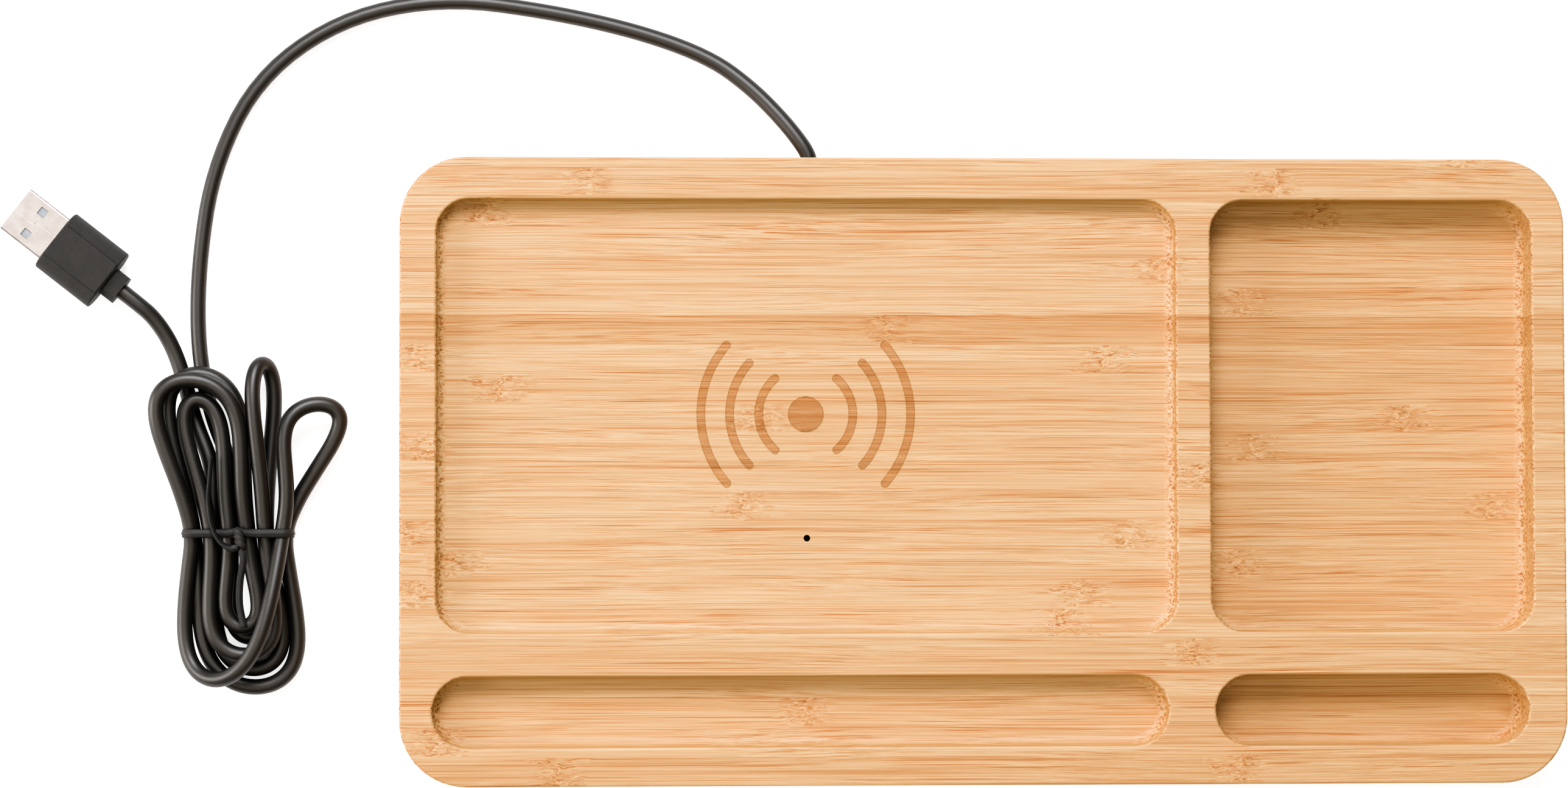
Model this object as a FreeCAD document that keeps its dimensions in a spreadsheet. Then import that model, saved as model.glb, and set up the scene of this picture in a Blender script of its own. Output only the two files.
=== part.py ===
import FreeCAD, Part
import math
import os
import Sketcher

# Charging station organizer: a bamboo desk tray with four milled pockets, a wireless charger under
# the phone pocket, and a USB cord tied in a hank. Millimetres. The tray stands on its feet at Z = 0,
# centred on the Z axis, with its length along X and its back edge, where the cord leaves, at +Y.

V = FreeCAD.Vector
UP = V(0, 0, 1)

SIZES = {
    # Board
    "tray_length": 280.0,
    "tray_depth": 150.0,
    "tray_thickness": 18.0,
    "tray_corner": 16.0,
    "edge_round": 0.6,
    # Rims and dividers that are left between the pockets
    "rim_left": 8.8,
    "rim_right": 8.0,
    "rim_back": 10.0,
    "rim_front": 9.3,
    "divider_between": 8.4,
    "divider_across": 10.3,
    # Pockets
    "bin_width": 77.8,
    "pocket_corner": 8.0,
    "floor_round": 2.4,
    "phone_recess": 5.0,
    "bin_recess": 11.0,
    "groove_width": 16.8,
    "groove_recess": 6.5,
    "groove_end_left": 7.8,
    "groove_end_right": 2.1,
    "slot_recess": 11.0,
    "slot_end_left": 0.8,
    "slot_end_right": 9.3,
    # Indicator window
    "led_hole": 1.6,
    "led_from_coil": 29.5,
    # Feet
    "foot_height": 2.0,
    "foot_diameter": 12.0,
    "foot_inset": 16.0,
    # Charger chamber and its cover
    "web_over_charger": 2.4,
    "chamber_width": 62.0,
    "chamber_wall": 13.0,
    "chamber_back": 48.5,
    "chamber_front": 39.5,
    "chamber_corner": 5.0,
    "cover_ledge": 8.0,
    "cover_recess": 2.5,
    "cover_thickness": 2.2,
    "cover_clearance": 0.3,
    "rib_thickness": 1.4,
    "rib_height": 3.0,
    "cover_screw_inset": 5.4,
    "cover_screw_shank": 2.4,
    "cover_screw_head": 4.8,
    "cover_screw_length": 9.0,
    "screw_clearance": 0.1,
    # Circuit board and what stands on it
    "board_width": 50.0,
    "board_back": 32.5,
    "board_front": 35.5,
    "board_thickness": 1.2,
    "board_gap": 3.4,
    "board_corner": 2.0,
    "board_hole_inset": 3.5,
    "board_screw_shank": 1.9,
    "board_screw_head": 3.8,
    "board_screw_head_height": 1.0,
    "board_screw_length": 4.6,
    "post_diameter": 5.0,
    "chip_size": 5.0,
    "chip_height": 0.9,
    "bridge_size": 3.2,
    "bridge_pitch": 7.0,
    "capacitor_length": 3.2,
    "capacitor_width": 2.5,
    "capacitor_height": 2.0,
    "capacitor_pitch": 4.2,
    "led_length": 3.2,
    "led_width": 1.6,
    "led_height": 0.7,
    "lens_height": 0.5,
    # Coil stack
    "coil_outer": 43.0,
    "coil_inner": 20.5,
    "coil_height": 1.4,
    "shield_diameter": 50.0,
    "shield_height": 1.3,
    "pad_diameter": 46.0,
    "lead_wire": 1.0,
    "lead_spread": 8.0,
    # Cord and its way into the tray
    "cord_diameter": 3.8,
    "cord_height": 8.5,
    "cord_offset": 1.2,
    "cord_inside": 24.0,
    "core_wire": 1.2,
    "core_spread": 0.95,
    "core_reach": 9.0,
    "cord_fit": 0.05,
    "grommet_diameter": 6.2,
    "grommet_head": 7.8,
    "grommet_head_height": 2.0,
    "clamp_width": 16.0,
    "clamp_length": 7.0,
    "clamp_wall": 1.0,
    "clamp_split": 0.3,
    "clamp_from_wall": 3.4,
    "clamp_screw_from_cord": 5.0,
    "clamp_screw_length": 4.5,
    # USB plug, in its own frame: X towards its tip, origin in the middle of the overmould's front
    "plug_x": -222.8,
    "plug_y": 56.1,
    "plug_angle": 142.0,
    "plug_length": 16.2,
    "plug_width": 16.0,
    "plug_height": 8.0,
    "plug_side_round": 3.8,
    "plug_edge_round": 0.5,
    "plug_panel_width": 8.8,
    "plug_panel_rise": 0.3,
    "plug_stub_length": 3.8,
    "plug_stub_width": 7.3,
    "plug_stub_height": 5.6,
    "plug_stub_round": 1.6,
    "shell_length": 11.9,
    "shell_width": 12.0,
    "shell_height": 4.5,
    "shell_wall": 0.3,
    "shell_round": 0.6,
    "shell_hole": 2.05,
    "shell_hole_spacing": 6.4,
    "shell_hole_from_tip": 5.7,
    "tongue_setback": 0.7,
    "tongue_height": 1.9,
    "contact_width": 1.0,
    "contact_height": 0.3,
    "contact_length": 8.0,
    "contact_setback": 1.2,
    # Hank and its tie
    "hank_x": -178.8,
    "hank_y": -14.6,
    "hank_pitch": 4.73,
    "hank_layer": 4.4,
    "hank_neck": 8.0,
    "floor_gap": 0.1,
    "tie_width": 2.2,
    "tie_thickness": 0.9,
    "tie_slack": 0.4,
}

doc = FreeCAD.newDocument("charging_station_organizer")
sheet = doc.addObject("Spreadsheet::Sheet", "sizes")
for row, (alias, size) in enumerate(SIZES.items(), start=1):
    sheet.set(f"A{row}", alias)
    sheet.set(f"B{row}", str(size))
    sheet.setAlias(f"B{row}", alias)
doc.recompute()

nodes = []


def of(alias):
    """The sheet's cell, as an expression."""
    return f"sizes.{alias}"


def value(expression):
    """The number that an expression gives now."""
    return float(sheet.evalExpression(expression))


# Places that several pieces share, as expressions on the sheet
TOP = "(sizes.foot_height + sizes.tray_thickness)"
BACK = "(sizes.tray_depth / 2)"
POCKET_BACK = f"({BACK} - sizes.rim_back)"
POCKET_FRONT = f"(sizes.rim_front + sizes.groove_width + sizes.divider_across - {BACK})"
POCKET_Y = f"(({POCKET_BACK} + {POCKET_FRONT}) / 2)"
POCKET_SPAN = f"({POCKET_BACK} - {POCKET_FRONT})"
GROOVE_Y = f"({POCKET_FRONT} - sizes.divider_across - sizes.groove_width / 2)"
PHONE_LEFT = "(-sizes.tray_length / 2 + sizes.rim_left)"
BIN_RIGHT = "(sizes.tray_length / 2 - sizes.rim_right)"
BIN_LEFT = f"({BIN_RIGHT} - sizes.bin_width)"
PHONE_RIGHT = f"({BIN_LEFT} - sizes.divider_between)"
PHONE_X = f"(({PHONE_LEFT} + {PHONE_RIGHT}) / 2)"
PHONE_FLOOR = f"({TOP} - sizes.phone_recess)"
CEILING = f"({PHONE_FLOOR} - sizes.web_over_charger)"
LEDGE = "(sizes.foot_height + sizes.cover_recess)"
CHAMBER_BACK = f"({BACK} - sizes.chamber_wall)"
COIL_Y = f"({CHAMBER_BACK} - sizes.chamber_back)"
LED_Y = f"({COIL_Y} - sizes.led_from_coil)"
CHAMBER_Y = f"({COIL_Y} + (sizes.chamber_back - sizes.chamber_front) / 2)"
CHAMBER_SPAN = "(sizes.chamber_back + sizes.chamber_front)"
BOARD_UNDER = f"({LEDGE} + sizes.board_gap)"
BOARD_TOP = f"({BOARD_UNDER} + sizes.board_thickness)"
BOARD_Y = f"({COIL_Y} + (sizes.board_back - sizes.board_front) / 2)"
BOARD_SPAN = "(sizes.board_back + sizes.board_front)"
SHIELD_TOP = f"({BOARD_TOP} + sizes.shield_height)"
COIL_TOP = f"({SHIELD_TOP} + sizes.coil_height)"
CORD_X = f"({PHONE_X} + sizes.cord_offset)"
CLAMP_BACK = f"({CHAMBER_BACK} - sizes.grommet_head_height - sizes.clamp_from_wall)"
CLAMP_Y = f"({CLAMP_BACK} - sizes.clamp_length / 2)"
SPLIT_LOW = "(sizes.cord_height - sizes.clamp_split / 2)"
SPLIT_HIGH = "(sizes.cord_height + sizes.clamp_split / 2)"
CLAMP_TOP = "(sizes.cord_height + sizes.cord_diameter / 2 + sizes.clamp_wall)"
SINK = "((sizes.cover_screw_head - sizes.cover_screw_shank) / 2)"
CORD_BORE = "(sizes.cord_diameter + 2 * sizes.cord_fit)"


def corners(x, y, half_x, half_y):
    """Four places around a centre, as pairs of expressions."""
    return [(f"({x} {sx} {half_x})", f"({y} {sy} {half_y})") for sx in "+-" for sy in "+-"]


COVER_SCREWS = corners(PHONE_X, CHAMBER_Y,
                       "(sizes.chamber_width / 2 + sizes.cover_ledge - sizes.cover_screw_inset)",
                       f"({CHAMBER_SPAN} / 2 + sizes.cover_ledge - sizes.cover_screw_inset)")
BOARD_SCREWS = corners(PHONE_X, BOARD_Y,
                       "(sizes.board_width / 2 - sizes.board_hole_inset)",
                       f"({BOARD_SPAN} / 2 - sizes.board_hole_inset)")
CLAMP_SCREWS = [(f"({CORD_X} {side} sizes.clamp_screw_from_cord)", CLAMP_Y) for side in "+-"]


# Sketches and features

def new_body(label):
    body = doc.addObject("PartDesign::Body", label)
    body.Label = label
    nodes.append(body)
    return body


def sketch_on(body, name, role, x="0", y="0", z="0"):
    """A sketch on one of the body's origin planes, moved along the plane's own axes."""
    sketch = body.newObject("Sketcher::SketchObject", name)
    plane = next(item for item in body.Origin.OriginFeatures if item.Role == role)
    sketch.AttachmentSupport = [(plane, "")]
    sketch.MapMode = "FlatFace"
    for axis, place in zip("xyz", (x, y, z)):
        sketch.setExpression(f"AttachmentOffset.Base.{axis}", place)
    return sketch


def constrain(sketch, kind, *where, size=None):
    """Add a constraint, and bind its size where it has one."""
    if size is None:
        sketch.addConstraint(Sketcher.Constraint(kind, *where))
        return
    index = sketch.addConstraint(Sketcher.Constraint(kind, *where, value(size)))
    sketch.setExpression(f"Constraints[{index}]", size)


def join_tangent(sketch, pieces):
    for piece, following in zip(pieces, pieces[1:] + pieces[:1]):
        constrain(sketch, "Tangent", piece, 2, following, 1)


def add_line(sketch, start, end):
    return sketch.addGeometry(Part.LineSegment(V(*start, 0), V(*end, 0)))


def add_arc(sketch, centre, radius, from_degrees, to_degrees):
    circle = Part.Circle(V(*centre, 0), UP, radius)
    return sketch.addGeometry(Part.ArcOfCircle(circle, math.radians(from_degrees), math.radians(to_degrees)))


def rounded_rectangle(sketch, width, height, radius):
    """A rectangle with round corners, centred on the sketch's origin."""
    x, y, r = value(width) / 2, value(height) / 2, value(radius)
    pieces = [add_line(sketch, (r - x, -y), (x - r, -y)), add_arc(sketch, (x - r, r - y), r, 270, 360),
              add_line(sketch, (x, r - y), (x, y - r)), add_arc(sketch, (x - r, y - r), r, 0, 90),
              add_line(sketch, (x - r, y), (r - x, y)), add_arc(sketch, (r - x, y - r), r, 90, 180),
              add_line(sketch, (-x, y - r), (-x, r - y)), add_arc(sketch, (r - x, r - y), r, 180, 270)]
    join_tangent(sketch, pieces)
    front, right, back, left = pieces[0::2]
    arcs = pieces[1::2]
    constrain(sketch, "Horizontal", front)
    constrain(sketch, "Horizontal", back)
    constrain(sketch, "Vertical", right)
    constrain(sketch, "Vertical", left)
    for arc in arcs[1:]:
        constrain(sketch, "Equal", arcs[0], arc)
    constrain(sketch, "Symmetric", front, 1, back, 1, -1, 1)
    constrain(sketch, "DistanceX", left, 1, right, 1, size=width)
    constrain(sketch, "DistanceY", front, 1, back, 1, size=height)
    constrain(sketch, "Radius", arcs[0], size=radius)


def oblong(sketch, length, width):
    """A slot with full round ends, centred on the sketch's origin."""
    r = value(width) / 2
    x = value(length) / 2 - r
    pieces = [add_line(sketch, (-x, -r), (x, -r)), add_arc(sketch, (x, 0), r, 270, 450),
              add_line(sketch, (x, r), (-x, r)), add_arc(sketch, (-x, 0), r, 90, 270)]
    join_tangent(sketch, pieces)
    constrain(sketch, "Horizontal", pieces[0])
    constrain(sketch, "Equal", pieces[1], pieces[3])
    constrain(sketch, "Symmetric", pieces[0], 1, pieces[2], 1, -1, 1)
    constrain(sketch, "DistanceX", pieces[0], 1, pieces[0], 2, size=f"{length} - {width}")
    constrain(sketch, "Radius", pieces[1], size=f"{width} / 2")


def circles(sketch, diameter, places=(("0", "0"),)):
    for x, y in places:
        circle = sketch.addGeometry(Part.Circle(V(value(x), value(y), 0), UP, value(diameter) / 2))
        constrain(sketch, "DistanceX", -1, 1, circle, 3, size=x)
        constrain(sketch, "DistanceY", -1, 1, circle, 3, size=y)
        constrain(sketch, "Diameter", circle, size=diameter)


def pad(body, name, sketch, length, backwards=False):
    feature = body.newObject("PartDesign::Pad", name)
    feature.Profile = sketch
    feature.Reversed = backwards
    feature.setExpression("Length", length)
    doc.recompute()
    return feature


def pocket(body, name, sketch, length, backwards=False):
    """Cut a sketch into the body, and make sure that it took something away."""
    before = body.Shape.Volume
    feature = body.newObject("PartDesign::Pocket", name)
    feature.Profile = sketch
    feature.Reversed = backwards
    feature.setExpression("Length", length)
    doc.recompute()
    if not body.Shape.Volume < before:
        raise ValueError(f"{name} cuts nothing")
    return feature


def level_edges(shape, height):
    """Names of the edges that lie flat at one height."""
    def is_level(edge):
        return abs(edge.BoundBox.ZMin - height) < 1e-4 and abs(edge.BoundBox.ZMax - height) < 1e-4
    return [f"Edge{i}" for i, edge in enumerate(shape.Edges, start=1) if is_level(edge)]


def fillet(body, name, edges, radius):
    dress(body, "PartDesign::Fillet", name, edges, "Radius", radius)


def chamfer(body, name, edges, size):
    dress(body, "PartDesign::Chamfer", name, edges, "Size", size)


def dress(body, kind, name, edges, property_name, size):
    base = body.Tip
    feature = body.newObject(kind, name)
    feature.Base = (base, edges)
    feature.setExpression(property_name, size)
    doc.recompute()


def box(label, length, width, height, x, y, z):
    """A block centred on x, y that stands on z."""
    block = doc.addObject("Part::Box", label)
    for name, size in (("Length", length), ("Width", width), ("Height", height)):
        block.setExpression(name, size)
    block.setExpression("Placement.Base.x", f"{x} - {length} / 2")
    block.setExpression("Placement.Base.y", f"{y} - {width} / 2")
    block.setExpression("Placement.Base.z", z)
    return block


def cylinder(label, diameter, height, x, y, z):
    rod = doc.addObject("Part::Cylinder", label)
    rod.setExpression("Radius", f"{diameter} / 2")
    rod.setExpression("Height", height)
    for axis, place in zip("xyz", (x, y, z)):
        rod.setExpression(f"Placement.Base.{axis}", place)
    return rod


def cone(label, low_diameter, high_diameter, height, x, y, z):
    taper = doc.addObject("Part::Cone", label)
    taper.setExpression("Radius1", f"{low_diameter} / 2")
    taper.setExpression("Radius2", f"{high_diameter} / 2")
    taper.setExpression("Height", height)
    for axis, place in zip("xyz", (x, y, z)):
        taper.setExpression(f"Placement.Base.{axis}", place)
    return taper


def fuse(label, pieces):
    joined = doc.addObject("Part::MultiFuse", label)
    joined.Shapes = pieces
    return joined


def group(label, pieces):
    """Separate solids that share one node."""
    together = doc.addObject("Part::Compound", label)
    together.Label = label
    together.Links = pieces
    nodes.append(together)
    return together


def node(piece, label):
    piece.Label = label
    nodes.append(piece)
    return piece


def shape_node(label, shape, place=V()):
    """A node whose shape comes from code: a cord, a wire or the tie."""
    feature = doc.addObject("Part::Feature", label)
    feature.Shape = shape
    feature.Placement = FreeCAD.Placement(place, FreeCAD.Rotation())
    return node(feature, label)


# Tray

def make_tray():
    tray = new_body("tray_body")
    plan = sketch_on(tray, "tray_plan", "XY_Plane", z=of("foot_height"))
    rounded_rectangle(plan, of("tray_length"), of("tray_depth"), of("tray_corner"))
    pad(tray, "board", plan, of("tray_thickness"))
    fillet(tray, "under_edge", level_edges(tray.Shape, value(of("foot_height"))), of("edge_round"))

    phone = sketch_on(tray, "phone_plan", "XY_Plane", PHONE_X, POCKET_Y, TOP)
    rounded_rectangle(phone, f"({PHONE_RIGHT} - {PHONE_LEFT})", POCKET_SPAN, of("pocket_corner"))
    pocket(tray, "phone_pocket", phone, of("phone_recess"))

    bin_plan = sketch_on(tray, "bin_plan", "XY_Plane", f"({BIN_LEFT} + {BIN_RIGHT}) / 2", POCKET_Y, TOP)
    rounded_rectangle(bin_plan, of("bin_width"), POCKET_SPAN, of("pocket_corner"))
    pocket(tray, "bin_pocket", bin_plan, of("bin_recess"))

    groove_left = "(-sizes.tray_length / 2 + sizes.groove_end_left)"
    groove_right = f"({PHONE_RIGHT} - sizes.groove_end_right)"
    groove_x = f"({groove_left} + {groove_right}) / 2"
    groove = sketch_on(tray, "groove_plan", "XY_Plane", groove_x, GROOVE_Y, TOP)
    oblong(groove, f"({groove_right} - {groove_left})", of("groove_width"))
    pocket(tray, "pen_groove", groove, of("groove_recess"))

    slot_left = f"({BIN_LEFT} + sizes.slot_end_left)"
    slot_right = "(sizes.tray_length / 2 - sizes.slot_end_right)"
    slot = sketch_on(tray, "slot_plan", "XY_Plane", f"({slot_left} + {slot_right}) / 2", GROOVE_Y, TOP)
    oblong(slot, f"({slot_right} - {slot_left})", of("groove_width"))
    pocket(tray, "card_slot", slot, of("slot_recess"))

    floors = {value(of(name)) for name in ("phone_recess", "bin_recess", "groove_recess", "slot_recess")}
    floor_edges = [edge for depth in sorted(floors) for edge in level_edges(tray.Shape, value(TOP) - depth)]
    fillet(tray, "floor_rounds", floor_edges, of("floor_round"))
    fillet(tray, "rim_rounds", level_edges(tray.Shape, value(TOP)), of("edge_round"))

    seat = sketch_on(tray, "cover_seat_plan", "XY_Plane", PHONE_X, CHAMBER_Y, of("foot_height"))
    rounded_rectangle(seat, "(sizes.chamber_width + 2 * sizes.cover_ledge)",
                      f"({CHAMBER_SPAN} + 2 * sizes.cover_ledge)",
                      "(sizes.chamber_corner + sizes.cover_ledge / 2)")
    pocket(tray, "cover_seat", seat, of("cover_recess"), backwards=True)

    chamber = sketch_on(tray, "chamber_plan", "XY_Plane", PHONE_X, CHAMBER_Y, LEDGE)
    rounded_rectangle(chamber, of("chamber_width"), CHAMBER_SPAN, of("chamber_corner"))
    pocket(tray, "chamber", chamber, f"({CEILING} - {LEDGE})", backwards=True)

    pilots = sketch_on(tray, "cover_pilots_plan", "XY_Plane", z=LEDGE)
    circles(pilots, "(sizes.cover_screw_shank + 2 * sizes.screw_clearance)", COVER_SCREWS)
    pocket(tray, "cover_pilots", pilots, of("cover_screw_length"), backwards=True)

    window = sketch_on(tray, "window_plan", "XY_Plane", PHONE_X, LED_Y, TOP)
    circles(window, of("led_hole"))
    pocket(tray, "led_window", window, f"({TOP} - {CEILING})")

    entry = sketch_on(tray, "cord_entry_plan", "XZ_Plane", CORD_X, of("cord_height"), f"-{BACK}")
    circles(entry, "(sizes.grommet_diameter + 2 * sizes.cord_fit)")
    pocket(tray, "cord_entry", entry, of("chamber_wall"), backwards=True)


def make_feet():
    for row, row_sign in (("back", "+"), ("front", "-")):
        for side, side_sign in (("left", "-"), ("right", "+")):
            x = f"({side_sign}1 * (sizes.tray_length / 2 - sizes.foot_inset))"
            y = f"({row_sign}1 * (sizes.tray_depth / 2 - sizes.foot_inset))"
            foot = new_body(f"foot_{row}_{side}")
            plan = sketch_on(foot, f"foot_{row}_{side}_plan", "XY_Plane", x, y)
            circles(plan, of("foot_diameter"))
            pad(foot, f"foot_{row}_{side}_pad", plan, of("foot_height"))
            fillet(foot, f"foot_{row}_{side}_round", level_edges(foot.Shape, 0), of("edge_round"))


# Charger

def make_cover():
    cover = new_body("charger_cover")
    plate_base = f"({LEDGE} - sizes.cover_thickness)"
    plate = sketch_on(cover, "plate_plan", "XY_Plane", PHONE_X, CHAMBER_Y, plate_base)
    rounded_rectangle(plate, "(sizes.chamber_width + 2 * (sizes.cover_ledge - sizes.cover_clearance))",
                      f"({CHAMBER_SPAN} + 2 * (sizes.cover_ledge - sizes.cover_clearance))",
                      "(sizes.chamber_corner + sizes.cover_ledge / 2 - sizes.cover_clearance)")
    pad(cover, "plate", plate, of("cover_thickness"))

    rib_offset = "(sizes.chamber_width / 2 - sizes.cover_clearance - sizes.rib_thickness / 2)"
    for name, side in (("left", "-"), ("right", "+")):
        rib_x = f"({PHONE_X} {side} {rib_offset})"
        rib = sketch_on(cover, f"rib_{name}_plan", "XY_Plane", rib_x, CHAMBER_Y, LEDGE)
        rounded_rectangle(rib, of("rib_thickness"), f"({CHAMBER_SPAN} - 4 * sizes.chamber_corner)",
                          of("cover_clearance"))
        pad(cover, f"rib_{name}", rib, of("rib_height"))

    posts = sketch_on(cover, "posts_plan", "XY_Plane", z=LEDGE)
    circles(posts, of("post_diameter"), BOARD_SCREWS)
    pad(cover, "posts", posts, of("board_gap"))

    saddle = sketch_on(cover, "saddle_plan", "XY_Plane", CORD_X, CLAMP_Y, LEDGE)
    rounded_rectangle(saddle, of("clamp_width"), of("clamp_length"), of("edge_round"))
    pad(cover, "saddle", saddle, f"({SPLIT_LOW} - {LEDGE})")
    groove = sketch_on(cover, "saddle_groove_plan", "XZ_Plane", CORD_X, of("cord_height"), f"-{CHAMBER_BACK}")
    circles(groove, CORD_BORE)
    pocket(cover, "saddle_groove", groove, of("chamber_back"), backwards=True)

    holes = sketch_on(cover, "cover_holes_plan", "XY_Plane", z=plate_base)
    circles(holes, "(sizes.cover_screw_shank + 2 * sizes.screw_clearance)", COVER_SCREWS)
    pocket(cover, "cover_holes", holes, of("cover_thickness"), backwards=True)
    under_edges = level_edges(cover.Shape, value(plate_base))
    rims = [edge for edge in under_edges if cover.Shape.getElement(edge).isClosed()]
    chamfer(cover, "cover_sinks", rims, SINK)

    post_holes = sketch_on(cover, "post_holes_plan", "XY_Plane", z=BOARD_UNDER)
    circles(post_holes, "(sizes.board_screw_shank + 2 * sizes.screw_clearance)", BOARD_SCREWS)
    pocket(cover, "post_holes", post_holes, of("board_screw_length"))
    clamp_holes = sketch_on(cover, "clamp_holes_plan", "XY_Plane", z=SPLIT_LOW)
    circles(clamp_holes, "(sizes.board_screw_shank + 2 * sizes.screw_clearance)", CLAMP_SCREWS)
    pocket(cover, "clamp_holes", clamp_holes, of("clamp_screw_length"))
    doc.recompute()


def make_board():
    board = new_body("circuit_board")
    plan = sketch_on(board, "board_plan", "XY_Plane", PHONE_X, BOARD_Y, BOARD_UNDER)
    rounded_rectangle(plan, of("board_width"), BOARD_SPAN, of("board_corner"))
    pad(board, "laminate", plan, of("board_thickness"))
    holes = sketch_on(board, "board_holes_plan", "XY_Plane", z=BOARD_TOP)
    circles(holes, "(sizes.board_screw_shank + 2 * sizes.screw_clearance)", BOARD_SCREWS)
    pocket(board, "board_holes", holes, of("board_thickness"))

    chip_y = f"({BOARD_Y} - {BOARD_SPAN} / 6)"
    node(box("chip", of("chip_size"), of("chip_size"), of("chip_height"),
             PHONE_X, chip_y, f"({BOARD_UNDER} - sizes.chip_height)"), "controller_chip")
    group("bridge_chips",
          [box(f"bridge_{i}", of("bridge_size"), of("bridge_size"), of("chip_height"),
               f"({PHONE_X} {side} sizes.bridge_pitch / 2)", f"({chip_y} + sizes.bridge_pitch)",
               f"({BOARD_UNDER} - sizes.chip_height)") for i, side in enumerate("+-")])
    capacitor = (of("capacitor_length"), of("capacitor_width"), of("capacitor_height"))
    capacitor_z = f"({BOARD_UNDER} - sizes.capacitor_height)"
    group("resonant_capacitors",
          [box(f"resonant_{i}", *capacitor, f"({PHONE_X} + sizes.bridge_pitch * 1.7)",
               f"({chip_y} + {i} * sizes.capacitor_pitch)", capacitor_z) for i in range(4)])
    input_y = f"({BOARD_Y} + {BOARD_SPAN} / 4)"
    group("input_capacitors",
          [box(f"input_{i}", *capacitor, f"({PHONE_X} - sizes.bridge_pitch * 1.7)",
               f"({input_y} - {i} * sizes.capacitor_pitch)", capacitor_z) for i in range(2)])
    case = box("led_case", of("led_length"), of("led_width"), of("led_height"), PHONE_X, LED_Y, BOARD_TOP)
    lens = cylinder("led_lens", of("led_hole"), of("lens_height"), PHONE_X, LED_Y,
                    f"({BOARD_TOP} + sizes.led_height)")
    node(fuse("led", [case, lens]), "indicator_led")


def make_coil():
    shield = cylinder("shield", of("shield_diameter"), of("shield_height"), PHONE_X, COIL_Y, BOARD_TOP)
    node(shield, "ferrite_shield")
    coil = new_body("charging_coil")
    plan = sketch_on(coil, "coil_plan", "XY_Plane", PHONE_X, COIL_Y, SHIELD_TOP)
    circles(plan, of("coil_outer"))
    circles(plan, of("coil_inner"))
    pad(coil, "winding", plan, of("coil_height"))
    foam = cylinder("foam", of("pad_diameter"), f"({CEILING} - {COIL_TOP})", PHONE_X, COIL_Y, COIL_TOP)
    node(foam, "coil_pad")


def make_screws():
    head_base = f"({LEDGE} - sizes.cover_thickness)"
    cover_screws = []
    for i, (x, y) in enumerate(COVER_SCREWS):
        head = cone(f"cover_head_{i}", of("cover_screw_head"), of("cover_screw_shank"), SINK, x, y, head_base)
        shank = cylinder(f"cover_shank_{i}", of("cover_screw_shank"), of("cover_screw_length"),
                         x, y, head_base)
        cover_screws.append(fuse(f"cover_screw_{i}", [head, shank]))
    group("cover_screws", cover_screws)
    board_reach = "(sizes.board_thickness + sizes.board_gap / 2)"
    group("board_screws", pan_screws("board", BOARD_SCREWS, BOARD_TOP, board_reach))
    group("clamp_screws", pan_screws("clamp", CLAMP_SCREWS, CLAMP_TOP, of("clamp_screw_length")))


def pan_screws(name, places, under_head, reach):
    """Screws with flat round heads, on top of what they hold."""
    screws = []
    for i, (x, y) in enumerate(places):
        head = cylinder(f"{name}_head_{i}", of("board_screw_head"), of("board_screw_head_height"),
                        x, y, under_head)
        shank = cylinder(f"{name}_shank_{i}", of("board_screw_shank"),
                         f"({reach} + sizes.board_screw_head_height / 2)", x, y, f"({under_head} - {reach})")
        screws.append(fuse(f"{name}_screw_{i}", [head, shank]))
    return screws


# Cord entry

def make_entry():
    grommet = new_body("cord_grommet")
    wall_place = (CORD_X, of("cord_height"), f"-{CHAMBER_BACK}")
    shank = sketch_on(grommet, "grommet_shank_plan", "XZ_Plane", *wall_place)
    circles(shank, of("grommet_diameter"))
    pad(grommet, "grommet_shank", shank, of("chamber_wall"), backwards=True)
    head = sketch_on(grommet, "grommet_head_plan", "XZ_Plane", *wall_place)
    circles(head, of("grommet_head"))
    pad(grommet, "grommet_head", head, of("grommet_head_height"))
    bore = sketch_on(grommet, "grommet_bore_plan", "XZ_Plane", CORD_X, of("cord_height"), f"-{BACK}")
    circles(bore, CORD_BORE)
    pocket(grommet, "grommet_bore", bore, "(sizes.chamber_wall + sizes.grommet_head_height)", backwards=True)

    clamp = new_body("cord_clamp")
    bar = sketch_on(clamp, "clamp_plan", "XY_Plane", CORD_X, CLAMP_Y, SPLIT_HIGH)
    rounded_rectangle(bar, of("clamp_width"), of("clamp_length"), of("edge_round"))
    pad(clamp, "clamp_bar", bar, f"({CLAMP_TOP} - {SPLIT_HIGH})")
    groove = sketch_on(clamp, "clamp_groove_plan", "XZ_Plane", *wall_place)
    circles(groove, CORD_BORE)
    pocket(clamp, "clamp_groove", groove, of("chamber_back"), backwards=True)
    holes = sketch_on(clamp, "clamp_bar_holes_plan", "XY_Plane", z=CLAMP_TOP)
    circles(holes, "(sizes.board_screw_shank + 2 * sizes.screw_clearance)", CLAMP_SCREWS)
    pocket(clamp, "clamp_bar_holes", holes, f"({CLAMP_TOP} - {SPLIT_HIGH})")

    cord = new_body("inner_cord")
    section = sketch_on(cord, "inner_cord_plan", "XZ_Plane", CORD_X, of("cord_height"), f"-{BACK}")
    circles(section, of("cord_diameter"))
    pad(cord, "inner_cord_run", section, of("cord_inside"))


# Tubes

def unit(vector):
    return V(vector) / vector.Length


def corner_arc(start_direction, corner, end_direction, reach):
    """The arc that rounds a corner, from reach before it to reach after it, and its radius."""
    turn = start_direction.getAngle(end_direction)
    radius = reach / math.tan(turn / 2)
    middle = corner + unit(end_direction - start_direction) * radius * (1 / math.cos(turn / 2) - 1)
    arc = Part.Arc(corner - start_direction * reach, middle, corner + end_direction * reach)
    return arc.toShape(), radius


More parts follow.
